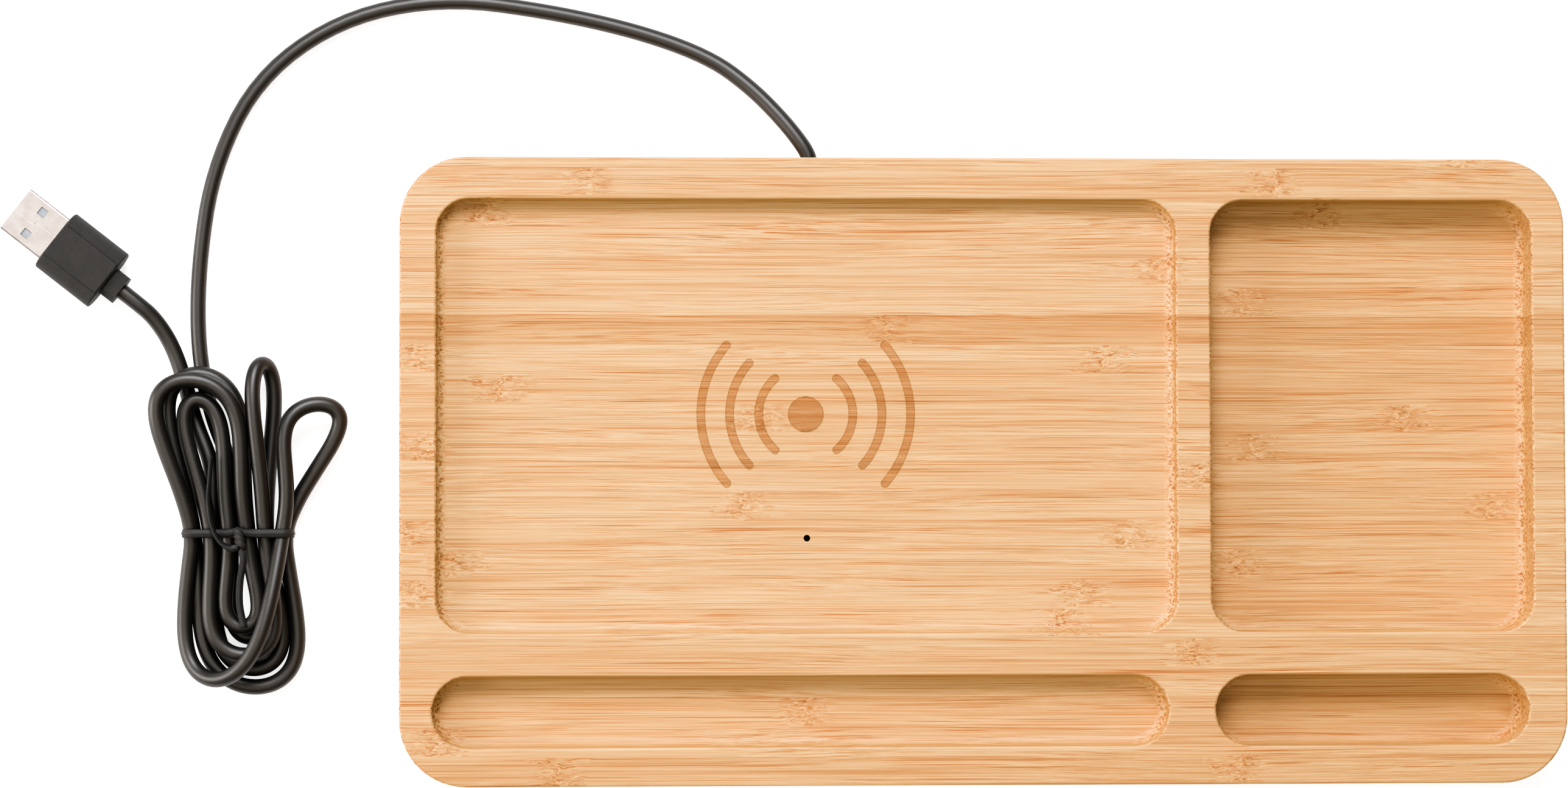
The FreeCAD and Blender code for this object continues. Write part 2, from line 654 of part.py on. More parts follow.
def rounded_route(points):
    """Straight runs joined by arcs as large as the runs allow: edges, and the arcs' radii."""
    edges, radii = [], []
    here = points[0]
    for before, corner, after in zip(points, points[1:], points[2:]):
        reach = 0.45 * min((corner - before).Length, (after - corner).Length)
        arc, radius = corner_arc(unit(corner - before), corner, unit(after - corner), reach)
        edges += [Part.LineSegment(here, arc.firstVertex().Point).toShape(), arc]
        radii.append(radius)
        here = arc.lastVertex().Point
    edges.append(Part.LineSegment(here, points[-1]).toShape())
    return edges, radii


def biarc(start, start_direction, end, end_direction):
    """Two arcs that leave one point and reach another in the given directions."""
    span = end - start
    lean = span.dot(start_direction + end_direction)
    spread = 2 * (1 - start_direction.dot(end_direction))
    if spread < 1e-9:
        reach = span.dot(span) / (2 * lean)
    else:
        reach = (math.sqrt(lean * lean + spread * span.dot(span)) - lean) / spread
    first = start + start_direction * reach
    second = end - end_direction * reach
    between = unit(second - first)
    return [corner_arc(start_direction, first, between, reach),
            corner_arc(between, second, end_direction, reach)]


def tube(edges, diameter):
    """A round tube along the edges, whose volume is checked against its length."""
    path = Part.Wire(edges)
    section = Part.Wire(Part.makeCircle(diameter / 2, edges[0].firstVertex().Point, edges[0].tangentAt(0)))
    solid = path.makePipeShell([section], True, False)
    expected = math.pi * diameter ** 2 / 4 * path.Length
    if abs(solid.Volume / expected - 1) > 0.01:
        raise ValueError(f"tube volume {solid.Volume:.0f}, expected {expected:.0f}")
    return solid


def points_along(edges, step=1.2):
    points = []
    for edge in edges:
        count = max(1, round(edge.Length / step))
        points += [edge.valueAt(edge.FirstParameter + (edge.LastParameter - edge.FirstParameter) * i / count)
                   for i in range(count)]
    return points


def least_gap(points, diameter, step=1.2):
    """The least gap of a tube to itself, past the stretch that only bends."""
    apart = round(4 * diameter / step)
    return min(points[i].distanceToPoint(other)
               for i in range(len(points)) for other in points[i + apart:]) - diameter


# Free cord, from the tray's back edge through the hank to the plug

CORD_RADIUS = value(of("cord_diameter")) / 2
FLOOR_LEVEL = CORD_RADIUS + value(of("floor_gap"))
WAIST_LEVEL = FLOOR_LEVEL + value(of("tie_thickness")) + value(of("tie_slack"))
HANK = V(value(of("hank_x")), value(of("hank_y")), 0)
COLUMNS = 6

# One loop of the hank a row: from its column to the next one's and back through the waist, with its
# end's column and layer, its reach past the waist (+ to the back), how far its tip leans to the right,
# how far it swells (+ if it starts on the right) and how many layers its tip rises.
FIRST_COLUMN, LAST_COLUMN = 2, 1
LOOPS = [
    # end column, end layer, reach, lean, swell, rise
    (3, 0, -24.0, 1.0, -8.0, 0.0),
    (0, 0, 38.6, -5.5, 12.2, 1.0),
    (5, 0, -37.1, 3.8, -19.4, 0.0),
    (5, 1, 31.3, 7.3, 17.2, 0.57),
    (0, 1, -36.4, -4.0, 17.3, 0.09),
    (3, 1, 37.0, -6.0, -15.7, 1.06),
    (2, 1, -24.4, -1.3, 8.7, 0.0),
    (1, 1, 32.4, -4.5, 10.1, 0.27),
    (4, 1, -30.9, -2.7, -13.2, 0.22),
    (4, 0, 41.0, 2.0, -9.6, 0.18),
    (1, 0, -32.6, 2.3, 12.4, 0.12),
]


def column_x(column):
    return (column - (COLUMNS - 1) / 2) * value(of("hank_pitch"))


def loop_point(start, end, loop, angle):
    """A place on one loop, from 0 at its start through pi / 2 at its tip to pi at its end."""
    (start_column, start_layer), (end_column, end_layer) = start, end
    _, _, reach, lean, swell, rise = loop
    out = math.sin(angle)
    climbed = 1 - (1 - out) ** 2
    middle = (column_x(start_column) + column_x(end_column)) / 2
    half = (column_x(start_column) - column_x(end_column)) / 2
    layer = start_layer + (end_layer - start_layer) * (1 - math.cos(angle)) / 2 + rise * climbed
    return HANK + V(middle + lean * out + math.cos(angle) * (half + swell * out ** 2), reach * out,
                    WAIST_LEVEL + (FLOOR_LEVEL - WAIST_LEVEL) * climbed + layer * value(of("hank_layer")))


def hank_edges():
    """The hank's path: straight ends at its neck, and four biarcs for each loop."""
    neck = V(0, value(of("hank_neck")), 0)
    straight = V(0, 2 * CORD_RADIUS, 0)
    start = (FIRST_COLUMN, 0)
    enter = HANK + V(column_x(FIRST_COLUMN), 0, WAIST_LEVEL) + neck
    leave = HANK + V(column_x(LAST_COLUMN), 0, WAIST_LEVEL) + neck
    knots = [(enter - straight, V(0, -1, 0))]
    small = 1e-3
    for loop in LOOPS:
        end = loop[:2]
        for eighth in range(4):
            angle = eighth * math.pi / 4
            here = loop_point(start, end, loop, angle)
            knots.append((here, unit(loop_point(start, end, loop, angle + small) - here)))
        start = end
    knots.append((loop_point(start, start, LOOPS[-1], 0), V(0, 1, 0)))
    knots.append((leave - straight, V(0, 1, 0)))
    for i in range(5, len(knots) - 1, 4):
        before = unit(knots[i][0] - knots[i - 1][0])
        after = unit(knots[i + 1][0] - knots[i][0])
        knots[i] = (knots[i][0], unit(before + after))
    edges, radii = [Part.LineSegment(enter, enter - straight).toShape()], []
    for (place, direction), (following, onward) in zip(knots, knots[1:]):
        for arc, radius in biarc(place, direction, following, onward):
            edges.append(arc)
            radii.append(radius)
    edges.append(Part.LineSegment(leave - straight, leave).toShape())
    return edges, radii


def plug_placement():
    return FreeCAD.Placement(V(value(of("plug_x")), value(of("plug_y")), value(PLUG_LEVEL)),
                             FreeCAD.Rotation(UP, value(of("plug_angle"))))


PLUG_LEVEL = "(sizes.plug_height / 2 + sizes.plug_panel_rise)"


def make_cord():
    diameter = value(of("cord_diameter"))
    neck = value(of("hank_neck"))
    exit_x, exit_y, exit_z = value(CORD_X), value(BACK), value(of("cord_height"))
    hank_start = HANK + V(column_x(FIRST_COLUMN), neck, WAIST_LEVEL)
    hank_end = HANK + V(column_x(LAST_COLUMN), neck, WAIST_LEVEL)
    free = FLOOR_LEVEL
    lead_points = [
        V(exit_x, exit_y, exit_z), V(exit_x, exit_y + 3.9, exit_z), V(-42.75, 83.1, 8.3),
        V(-46.2, 88.1, 7.2), V(-53.6, 94, 5.2), V(-65, 100.6, 3.2), V(-82, 107, free),
        V(-104, 111.9, free), V(-129.5, 115.2, free), V(-154.5, 110.2, free), V(-174.8, 95.6, free),
        V(-185.4, 73.5, free), V(-189, 50, free), V(-189.2, 30, free), V(-187.3, 14, free + 0.2),
        V(hank_start.x, hank_start.y + 9.3, WAIST_LEVEL), hank_start]
    plug_back = plug_placement().multVec(V(-value(of("plug_length")) - value(of("plug_stub_length")), 0, 0))
    behind = plug_placement().Rotation.multVec(V(-1, 0, 0))
    tail_points = [
        hank_end, V(hank_end.x, hank_end.y + 8.8, WAIST_LEVEL), V(-192.5, 14.5, free + 0.2),
        V(-194.6, 24, free), V(-198.6, 33.7, free + 0.8), plug_back + behind * 6.6, plug_back]
    lead, lead_radii = rounded_route(lead_points)
    hank, hank_radii = hank_edges()
    tail, tail_radii = rounded_route(tail_points)
    for name, edges in (("cord_lead", lead), ("cord_hank", hank), ("cord_tail", tail)):
        shape_node(name, tube(edges, diameter))
    whole = lead + hank + tail
    print("cord length", round(sum(edge.Length for edge in whole)), "mm")
    for name, radii in (("lead", lead_radii), ("tail", tail_radii)):
        print(name, "radii", [round(radius, 1) for radius in radii])
    print("hank least radius", round(min(hank_radii), 1))
    print("hank least gap", round(least_gap(points_along(hank), diameter), 2))
    print("cord least gap", round(least_gap(points_along(whole), diameter), 2))


def make_wires():
    """The cord's two cores, and the coil's two ends, soldered to the top of the board."""
    core = value(of("core_wire"))
    pad_height = value(BOARD_TOP) + core / 2 + value(of("cord_fit"))
    cord_end = value(BACK) - value(of("cord_inside"))
    cores = []
    for side in (-1, 1):
        x = value(CORD_X) + side * value(of("core_spread"))
        level = value(of("cord_height"))
        route = [V(x, cord_end, level), V(x, cord_end - 2, level), V(x, cord_end - 4.5, pad_height),
                 V(x + side * 0.6, cord_end - value(of("core_reach")), pad_height)]
        cores.append(tube(rounded_route(route)[0], core))
    shape_node("power_wires", Part.Compound(cores))

    lead = value(of("lead_wire"))
    level = value(SHIELD_TOP) + value(of("coil_height")) / 2
    rim = value(of("coil_outer")) / 2
    low = value(BOARD_TOP) + lead / 2 + value(of("cord_fit"))
    spread = value(of("lead_spread"))
    start_y = value(COIL_Y) - math.sqrt(rim ** 2 - (spread - lead / 2) ** 2) - value(of("cord_fit"))
    shield_edge = value(COIL_Y) - value(of("shield_diameter")) / 2
    ends = []
    for side in (-1, 1):
        x = value(PHONE_X) + side * spread
        route = [V(x, start_y, level), V(x, start_y - 4.4, level), V(x, shield_edge - 2.6, low),
                 V(x - side * 0.4, shield_edge - 5.6, low)]
        ends.append(tube(rounded_route(route)[0], lead))
    shape_node("coil_leads", Part.Compound(ends))


# Plug

def make_plug():
    place = plug_placement()
    overmould = new_body("plug_overmould")
    section = sketch_on(overmould, "overmould_section", "YZ_Plane")
    rounded_rectangle(section, of("plug_width"), of("plug_height"), of("plug_side_round"))
    pad(overmould, "overmould_bar", section, of("plug_length"), backwards=True)
    ends = [f"Edge{i}" for i, edge in enumerate(overmould.Shape.Edges, start=1)
            if edge.BoundBox.XLength < 1e-4]
    fillet(overmould, "overmould_ends", ends, of("plug_edge_round"))
    panel = sketch_on(overmould, "panel_section", "YZ_Plane", z="-sizes.plug_edge_round")
    rounded_rectangle(panel, of("plug_panel_width"), "(sizes.plug_height + 2 * sizes.plug_panel_rise)",
                      of("plug_panel_rise"))
    panel_length = "(sizes.plug_length - 2 * sizes.plug_edge_round)"
    pad(overmould, "overmould_panel", panel, panel_length, backwards=True)
    stub = sketch_on(overmould, "stub_section", "YZ_Plane", z="-sizes.plug_length")
    rounded_rectangle(stub, of("plug_stub_width"), of("plug_stub_height"), of("plug_stub_round"))
    pad(overmould, "overmould_stub", stub, of("plug_stub_length"), backwards=True)
    overmould.Placement = place

    shell = new_body("plug_shell")
    section = sketch_on(shell, "shell_section", "YZ_Plane")
    rounded_rectangle(section, of("shell_width"), of("shell_height"), of("shell_round"))
    rounded_rectangle(section, "(sizes.shell_width - 2 * sizes.shell_wall)",
                      "(sizes.shell_height - 2 * sizes.shell_wall)", "(sizes.shell_round - sizes.shell_wall)")
    pad(shell, "shell_tube", section, of("shell_length"))
    hole_x = "(sizes.shell_length - sizes.shell_hole_from_tip)"
    for name, side in (("left", "+"), ("right", "-")):
        hole = sketch_on(shell, f"shell_hole_{name}_plan", "XY_Plane", hole_x,
                         f"{side}sizes.shell_hole_spacing / 2", "sizes.shell_height / 2")
        rounded_rectangle(hole, of("shell_hole"), of("shell_hole"), "(sizes.shell_wall / 2)")
        pocket(shell, f"shell_hole_{name}", hole, of("shell_height"))
    shell.Placement = place

    tongue = new_body("plug_tongue")
    tongue_top = "(sizes.shell_height / 2 - sizes.shell_wall)"
    plan = sketch_on(tongue, "tongue_section", "YZ_Plane", y=f"({tongue_top} - sizes.tongue_height / 2)")
    rounded_rectangle(plan, "(sizes.shell_width - 2 * sizes.shell_round)", of("tongue_height"),
                      "(sizes.shell_wall / 2)")
    pad(tongue, "tongue_block", plan, "(sizes.shell_length - sizes.tongue_setback)")
    tongue.Placement = place

    contacts = new_body("plug_contacts")
    level = f"({tongue_top} - sizes.tongue_height - sizes.contact_height / 2)"
    reach = "(sizes.shell_length - sizes.tongue_setback - sizes.contact_setback - sizes.contact_length)"
    for i, offset in enumerate(("-3.5", "-1", "1", "3.5")):
        leaf = sketch_on(contacts, f"contact_{i}_section", "YZ_Plane", f"{offset} * sizes.contact_width",
                         level, reach)
        rounded_rectangle(leaf, of("contact_width"), of("contact_height"), "(sizes.contact_height / 6)")
        pad(contacts, f"contact_{i}", leaf, of("contact_length"))
    contacts.Placement = place


# Twist tie

def strip(points, width, thickness, up):
    """A flat strip along straight runs and arcs, lying with its broad side towards up."""
    edges, _ = rounded_route(points)
    along = edges[0].tangentAt(0)
    across = unit(along.cross(up)) * width / 2
    rise = unit(across.cross(along)) * thickness / 2
    start = points[0]
    outline = Part.makePolygon([start - across - rise, start + across - rise, start + across + rise,
                                start - across + rise, start - across - rise])
    return Part.Wire(edges).makePipeShell([outline], True, False)


def make_tie():
    width, thickness, slack = (value(of(name)) for name in ("tie_width", "tie_thickness", "tie_slack"))
    half = column_x(COLUMNS - 1) + CORD_RADIUS + slack
    low = value(of("floor_gap")) + thickness
    high = WAIST_LEVEL + value(of("hank_layer")) + CORD_RADIUS + slack
    inner = rounded_prism(half, low, high, CORD_RADIUS, width)
    outer = rounded_prism(half + thickness, low - thickness, high + thickness,
                          CORD_RADIUS + thickness, width)
    band = outer.cut(inner)

    top = high + thickness
    twist_start = V(0, width * 0.2, top)
    twist_end = V(0.3, -width * 2, top + thickness * 0.6)
    turns = 1.25
    steps = 6
    sections = []
    for i in range(steps + 1):
        share = i / steps
        centre = twist_start + (twist_end - twist_start) * share
        angle = 2 * math.pi * turns * share
        across = V(math.cos(angle), 0, math.sin(angle)) * thickness
        rise = V(-math.sin(angle), 0, math.cos(angle)) * thickness * 0.55
        sections.append(Part.makePolygon([centre - across - rise, centre + across - rise,
                                          centre + across + rise, centre - across + rise,
                                          centre - across - rise]))
    twist = Part.makeLoft(sections, True, True)

    tail_level = twist_end.z
    upper = strip([V(-0.4, -4.2, tail_level), V(-2.9, -3.6, tail_level + 0.3),
                   V(-5.3, -0.6, tail_level + 0.2), V(-6.8, 5.5, tail_level),
                   V(-7.2, 12, tail_level - 0.2), V(-6.3, 18, tail_level)],
                  width * 0.85, thickness, UP)
    lower = strip([V(0.4, -4.0, tail_level), V(0.9, -8, tail_level - 0.1),
                   V(0.2, -13, tail_level - 0.7), V(0.4, -18, tail_level - 1.1),
                   V(1.7, -23, tail_level - 1.2)], width * 0.85, thickness, UP)
    tie = band.fuse([twist, upper, lower]).removeSplitter()
    shape_node("hank_tie", tie, HANK)


def rounded_prism(half, low, high, radius, width):
    """A block round the hank's waist, with its edges along Y rounded."""
    block = Part.makeBox(2 * half, width, high - low, V(-half, -width / 2, low))
    along = [edge for edge in block.Edges if edge.BoundBox.YLength > 0.9 * width]
    return block.makeFillet(min(radius, (high - low) / 2.1), along)


make_tray()
make_feet()
make_cover()
make_board()
make_coil()
make_screws()
make_entry()
make_cord()
make_wires()
make_plug()
make_tie()
doc.recompute()

for item in doc.Objects:
    if {"Invalid", "Error"} & set(item.State):
        raise ValueError(f"{item.Label} failed: {item.State}")
for item in nodes:
    if item.Shape.isNull() or not item.Shape.isValid():
        raise ValueError(f"{item.Label} has no valid shape")

os.makedirs("parts", exist_ok=True)
for item in nodes:
    item.Shape.exportStep(f"parts/{item.Label}.step")
print(len(nodes), "nodes")
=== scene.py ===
import math

import bmesh
import bpy
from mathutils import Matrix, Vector


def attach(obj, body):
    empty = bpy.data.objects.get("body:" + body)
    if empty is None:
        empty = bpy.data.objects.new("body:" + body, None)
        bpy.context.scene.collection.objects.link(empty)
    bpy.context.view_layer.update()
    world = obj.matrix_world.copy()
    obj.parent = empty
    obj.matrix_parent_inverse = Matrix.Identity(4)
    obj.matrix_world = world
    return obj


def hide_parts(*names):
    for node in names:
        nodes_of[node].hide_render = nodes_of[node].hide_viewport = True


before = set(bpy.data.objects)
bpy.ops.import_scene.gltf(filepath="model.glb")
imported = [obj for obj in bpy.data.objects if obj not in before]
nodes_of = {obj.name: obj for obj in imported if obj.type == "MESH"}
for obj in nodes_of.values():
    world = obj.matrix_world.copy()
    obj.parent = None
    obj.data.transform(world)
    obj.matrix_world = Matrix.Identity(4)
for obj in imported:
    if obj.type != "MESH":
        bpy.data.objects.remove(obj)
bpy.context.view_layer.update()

MM = 0.001
UP = Vector((0, 0, 1))
scene = bpy.context.scene


# Node building

class Tree:
    """Short calls that add nodes to a material and link them."""

    def __init__(self, name):
        self.material = bpy.data.materials.new(name)
        self.material.use_nodes = True
        self.tree = self.material.node_tree
        self.tree.nodes.clear()
        self.geometry = self.add("ShaderNodeNewGeometry")
        self.place = self.add("ShaderNodeTexCoord").outputs["Object"]

    def add(self, kind, inputs=None, **settings):
        made = self.tree.nodes.new(kind)
        for name, setting in settings.items():
            setattr(made, name, setting)
        for name, given in (inputs or {}).items():
            self.feed(made.inputs[name], given)
        return made

    def feed(self, socket, given):
        if isinstance(given, bpy.types.NodeSocket):
            self.tree.links.new(given, socket)
        else:
            socket.default_value = given

    def math(self, operation, *terms):
        made = self.add("ShaderNodeMath", operation=operation)
        for socket, term in zip(made.inputs, terms):
            self.feed(socket, term)
        return made.outputs[0]

    def sum(self, *terms):
        total = terms[0]
        for term in terms[1:]:
            total = self.math("ADD", total, term)
        return total

    def product(self, *terms):
        total = terms[0]
        for term in terms[1:]:
            total = self.math("MULTIPLY", total, term)
        return total

    def minus(self, value, taken):
        return self.math("SUBTRACT", value, taken)

    def distance(self, value, point=0.0):
        return self.math("ABSOLUTE", self.minus(value, point))

    def chance(self, number, step, seed=0.0, spread=97.31):
        """A random-looking share for each whole number."""
        wave = self.math("SINE", self.sum(self.product(number, step), seed))
        return self.math("FRACT", self.product(wave, spread))

    def step(self, value, low, high):
        """Runs smoothly from 0 at low to 1 at high."""
        made = self.add("ShaderNodeMapRange", {"Value": value, "From Min": low, "From Max": high},
                        interpolation_type="SMOOTHSTEP")
        return made.outputs["Result"]

    def span(self, share, low, high):
        """Low where the share is 0 and high where it is 1."""
        made = self.add("ShaderNodeMapRange", {"Value": share, "To Min": low, "To Max": high})
        return made.outputs["Result"]

    def millimetres(self):
        scaled = self.add("ShaderNodeVectorMath", {0: self.place, "Scale": 1000.0}, operation="SCALE")
        return self.add("ShaderNodeSeparateXYZ", {0: scaled.outputs[0]}).outputs

    def vector(self, x, y, z):
        return self.add("ShaderNodeCombineXYZ", {"X": x, "Y": y, "Z": z}).outputs[0]

    def scaled(self, place, *factors):
        return self.vector(*(self.product(part, factor) for part, factor in zip(place, factors)))

    def noise(self, vector, scale=1.0, detail=2.0, roughness=0.5):
        made = self.add("ShaderNodeTexNoise", {"Vector": vector, "Scale": scale, "Detail": detail,
                                               "Roughness": roughness})
        return made.outputs["Fac"]

    def cells(self, vector):
        """How far the nearest of scattered points is."""
        return self.add("ShaderNodeTexVoronoi", {"Vector": vector, "Scale": 1.0}).outputs["Distance"]

    def mix(self, factor, first, second, blend="MIX"):
        made = self.add("ShaderNodeMix", data_type="RGBA", blend_type=blend)
        self.feed(made.inputs["Factor"], factor)
        self.feed(made.inputs["A"], rgba(first))
        self.feed(made.inputs["B"], rgba(second))
        return made.outputs["Result"]

    def tinted(self, color, share, tint):
        """The colour, multiplied by the tint as far as the share goes."""
        return self.mix(share, color, self.mix(1.0, color, tint, "MULTIPLY"))

    def bump(self, height, strength, distance):
        return self.add("ShaderNodeBump", {"Height": height, "Strength": strength,
                                           "Distance": distance}).outputs["Normal"]

    def finish(self, color, roughness, normal=None, **constants):
        shader = self.add("ShaderNodeBsdfPrincipled", {"Base Color": color, "Roughness": roughness})
        if normal is not None:
            self.feed(shader.inputs["Normal"], normal)
        for name, setting in constants.items():
            shader.inputs[name.replace("_", " ")].default_value = setting
        output = self.add("ShaderNodeOutputMaterial")
        self.tree.links.new(shader.outputs[0], output.inputs["Surface"])
        return self.material


def rgba(given):
    return (*given, 1.0) if isinstance(given, tuple) and len(given) == 3 else given


def times(color, factor):
    return tuple(part * factor for part in color)


# Bamboo

STRIP_WIDTH = 7.03
FIRST_STRIP_TOP = 72.61

# Where two knuckles of each strip lie along X, from the back strip to the front; -300 and 400 are off the tray
KNUCKLES = [(116, 400), (-95, 70), (-120, 82), (-300, 400), (42, 400), (63, -300), (-24, 400), (-136, 29),
            (-116, 400), (-54, 103), (-135, 66), (51, -300), (-58, 123), (-138, 35), (-127, 62), (-136, 23),
            (19, -300), (49, -300), (-300, 400), (-43, 400), (-131, 400), (-102, 60)]
KNUCKLE_RANGE = 400.0
KNUCKLE_REACH = 9.0
MARK_REACH = 7.0
SCAR_WANDER = 9.0

LIGHT_BAMBOO = (0.570, 0.387, 0.229)
DARK_BAMBOO = (0.509, 0.315, 0.172)

# What a streak, mark or place multiplies the wood's colour by
CLOUD_TINT = (0.95, 0.89, 0.85)
INNER_TINT = (0.95, 0.88, 0.84)
PALE_STREAK = (1.09, 1.15, 1.21)
DEEP_STREAK = (0.86, 0.70, 0.58)
ORANGE_LINE = (0.77, 0.54, 0.42)
BROWN_MARK = (0.68, 0.50, 0.42)
KNUCKLE_TINT = (0.93, 0.83, 0.75)
SCAR_TINT = (1.18, 1.25, 1.24)
# Painted light: makes the steep milled walls paler than the top
WALL_PAINTED_LIGHT = (1.10, 1.09, 1.02)
# Painted shade: darkens and browns the deep pockets below the shallow level
POCKET_PAINTED_SHADE = (0.965, 0.93, 0.90)

# Length and width of the fibre bundles' cells in mm, and how strong their rings are
BUNDLES = [(260.0, 0.40, 0.85), (130.0, 0.56, 0.95)]

# Levels between which the painted shade of the deep pockets sets in
SHALLOW_LEVEL = 15.0
DEEP_LEVEL = 9.5


def knuckle_places(t, strip):
    """The two places in the strip's row of the list, as shares of the range."""
    ramp = t.add("ShaderNodeValToRGB", {"Fac": t.math("DIVIDE", t.sum(strip, 1.5), len(KNUCKLES))})
    ramp.color_ramp.interpolation = "CONSTANT"
    stops = ramp.color_ramp.elements
    while len(stops) < len(KNUCKLES):
        stops.new(1.0)
    for i, pair in enumerate(KNUCKLES):
        stops[i].position = i / len(KNUCKLES)
        stops[i].color = (*((place + KNUCKLE_RANGE) / (2 * KNUCKLE_RANGE) for place in pair), 0.0, 1.0)
    return t.add("ShaderNodeSeparateColor", {"Color": ramp.outputs["Color"]}).outputs[:2]


def bamboo_grain(t):
    """Colour, roughness and height of laminated bamboo, as a solid grain along X."""
    place = x, y, z = t.millimetres()
    across = t.math("DIVIDE", t.minus(FIRST_STRIP_TOP, y), STRIP_WIDTH)
    strip = t.math("FLOOR", across)
    within = t.math("FRACT", across)
    middle = t.product(t.minus(1.0, within), within, 4.0)
    inside = t.step(middle, 0.02, 0.3)
    tone = t.chance(strip, 12.9, 10.7535)
    lined = t.chance(strip, 7.7, 4.1)
    turned = t.math("GREATER_THAN", t.chance(strip, 5.3, 2.2), 0.5)
    depth = t.distance(turned, within)

    # How far off the strip's nearest knuckle is, and how many lie to the left
    ripple = t.minus(t.noise(t.scaled(place, 0.16, 0.38, 0.38)), 0.5)
    bend = t.product(ripple, 7.0)
    first, second = (t.sum(t.minus(x, t.span(spot, -KNUCKLE_RANGE, KNUCKLE_RANGE)), bend)
                     for spot in knuckle_places(t, strip))
    past = t.sum(t.math("GREATER_THAN", first, 0.0), t.math("GREATER_THAN", second, 0.0))
    nearer = t.math("LESS_THAN", t.distance(first), t.distance(second))
    signed = t.sum(t.product(first, nearer), t.product(second, t.minus(1.0, nearer)))
    off = t.distance(signed)
    knuckle = t.product(t.step(off, KNUCKLE_REACH, 0.5), inside)

    # Fibres run along the strip, wander a little and bow round the knuckles
    drift = t.minus(t.noise(t.scaled(place, 0.012, 0.13, 0.13), detail=0.0), 0.5)
    shift = t.sum(t.product(drift, 2.2), t.product(ripple, knuckle, 4.0))
    fibre = (t.sum(x, t.product(strip, 37.0), t.product(past, 260.0)),
             t.sum(y, shift),
             t.sum(z, t.product(shift, 0.6), t.product(strip, 11.3)))

    def along(length, width):
        return t.scaled(fibre, 1 / length, 1 / width, 1 / width)

    strength = t.step(t.noise(along(60.0, 2.2), detail=1.0), 0.3, 0.65)
    cloud = t.noise(along(140.0, 5.0), detail=1.0)
    broad = t.noise(along(160.0, 1.1), detail=1.0)
    thread = t.noise(along(75.0, 0.24), detail=4.0, roughness=0.85)

    color = t.mix(t.product(tone, tone), LIGHT_BAMBOO, DARK_BAMBOO)
    color = t.tinted(color, t.product(t.step(cloud, 0.45, 0.72), 0.8), CLOUD_TINT)
    color = t.tinted(color, t.product(depth, 0.35), INNER_TINT)
    color = t.tinted(color, t.product(t.step(broad, 0.48, 0.30), 0.38), DEEP_STREAK)
    color = t.tinted(color, t.product(t.step(thread, 0.49, 0.43), 0.8), DEEP_STREAK)
    color = t.tinted(color, t.product(t.step(thread, 0.51, 0.57), 0.95), PALE_STREAK)

    # Fibre bundles: long pointed lines, pale inside and orange around, dark dots where they are cut across
    faces = t.add("ShaderNodeSeparateXYZ", {0: t.geometry.outputs["True Normal"]}).outputs
    cut_across = t.step(t.distance(faces[0]), 0.25, 0.6)
    size = t.sum(0.25, t.product(lined, 0.07), t.product(t.math("POWER", depth, 2.0), 0.06),
                 t.product(knuckle, 0.05))
    line_marks = 0.0
    for length, width, weight in BUNDLES:
        share = t.math("DIVIDE", t.cells(along(length, width)), size)
        ring = t.product(t.step(share, 1.02, 0.92), t.step(share, 0.52, 0.68), t.span(strength, 0.3, 1.0),
                         weight)
        core = t.product(t.step(share, 0.64, 0.48), t.span(strength, 0.5, 1.0))
        color = t.tinted(color, core, PALE_STREAK)
        color = t.tinted(color, ring, ORANGE_LINE)
        color = t.tinted(color, t.product(t.step(share, 1.0, 0.75), cut_across, 0.5), BROWN_MARK)
        line_marks = t.sum(ring, line_marks)
    pores = t.cells(t.scaled((strip, y, z), 5.1, 1.25, 1.25))
    color = t.tinted(color, t.product(t.step(pores, 0.46, 0.26), cut_across, 0.9), BROWN_MARK)
    color = t.tinted(color, t.product(t.step(pores, 0.46, 0.66), cut_across), PALE_STREAK)

    # Knuckle: browner wood, short bowed marks, and a broken pale scar with a brown line beside it
    color = t.tinted(color, t.product(knuckle, 0.35), KNUCKLE_TINT)
    blotch = t.noise(t.scaled((x, *fibre[1:]), 0.33, 1.5, 1.5), detail=3.0, roughness=0.62)
    marked = t.product(t.step(off, MARK_REACH, 2.0), inside)
    color = t.tinted(color, t.product(t.step(blotch, 0.53, 0.66), marked, 0.62), BROWN_MARK)
    color = t.tinted(color, t.product(t.step(blotch, 0.46, 0.36), marked), PALE_STREAK)
    broken = t.noise(t.scaled((strip, y, z), 3.7, 0.75, 0.75))
    from_scar = t.distance(t.sum(signed, t.product(t.minus(broken, 0.5), SCAR_WANDER)))
    scar = t.product(t.step(from_scar, 0.55, 0.2), inside, t.step(blotch, 0.40, 0.56), 0.9)
    color = t.tinted(color, scar, SCAR_TINT)
    beside = t.step(t.distance(from_scar, 0.75), 0.32, 0.1)
    color = t.tinted(color, t.product(beside, inside, t.step(blotch, 0.42, 0.6), 0.6), BROWN_MARK)

    glue = t.product(t.step(within, 0.03, 0.0), t.step(cloud, 0.35, 0.6), 0.7)
    color = t.tinted(color, glue, ORANGE_LINE)

    # The milled walls get painted light that makes them paler than the sanded top, and the deep pockets painted
    # shade that makes them a little browner
    color = t.tinted(color, t.step(t.distance(faces[2]), 0.75, 0.25), WALL_PAINTED_LIGHT)
    color = t.tinted(color, t.step(z, SHALLOW_LEVEL, DEEP_LEVEL), POCKET_PAINTED_SHADE)

    roughness = t.sum(0.42, t.product(line_marks, 0.1), t.product(thread, 0.12))
    return color, roughness, thread


GRAIN_RELIEF = 0.00008


def bamboo():
    t = Tree("bamboo")
    color, roughness, height = bamboo_grain(t)
    return t.finish(color, roughness, t.bump(height, 0.35, GRAIN_RELIEF), Specular_IOR_Level=0.3)


SCAN_PITCH = 0.26
SCAN_SPREAD = 437.58
BURNT_TINT = (0.890, 0.712, 0.625)
BURNT_EDGE = (0.27, 0.125, 0.05)


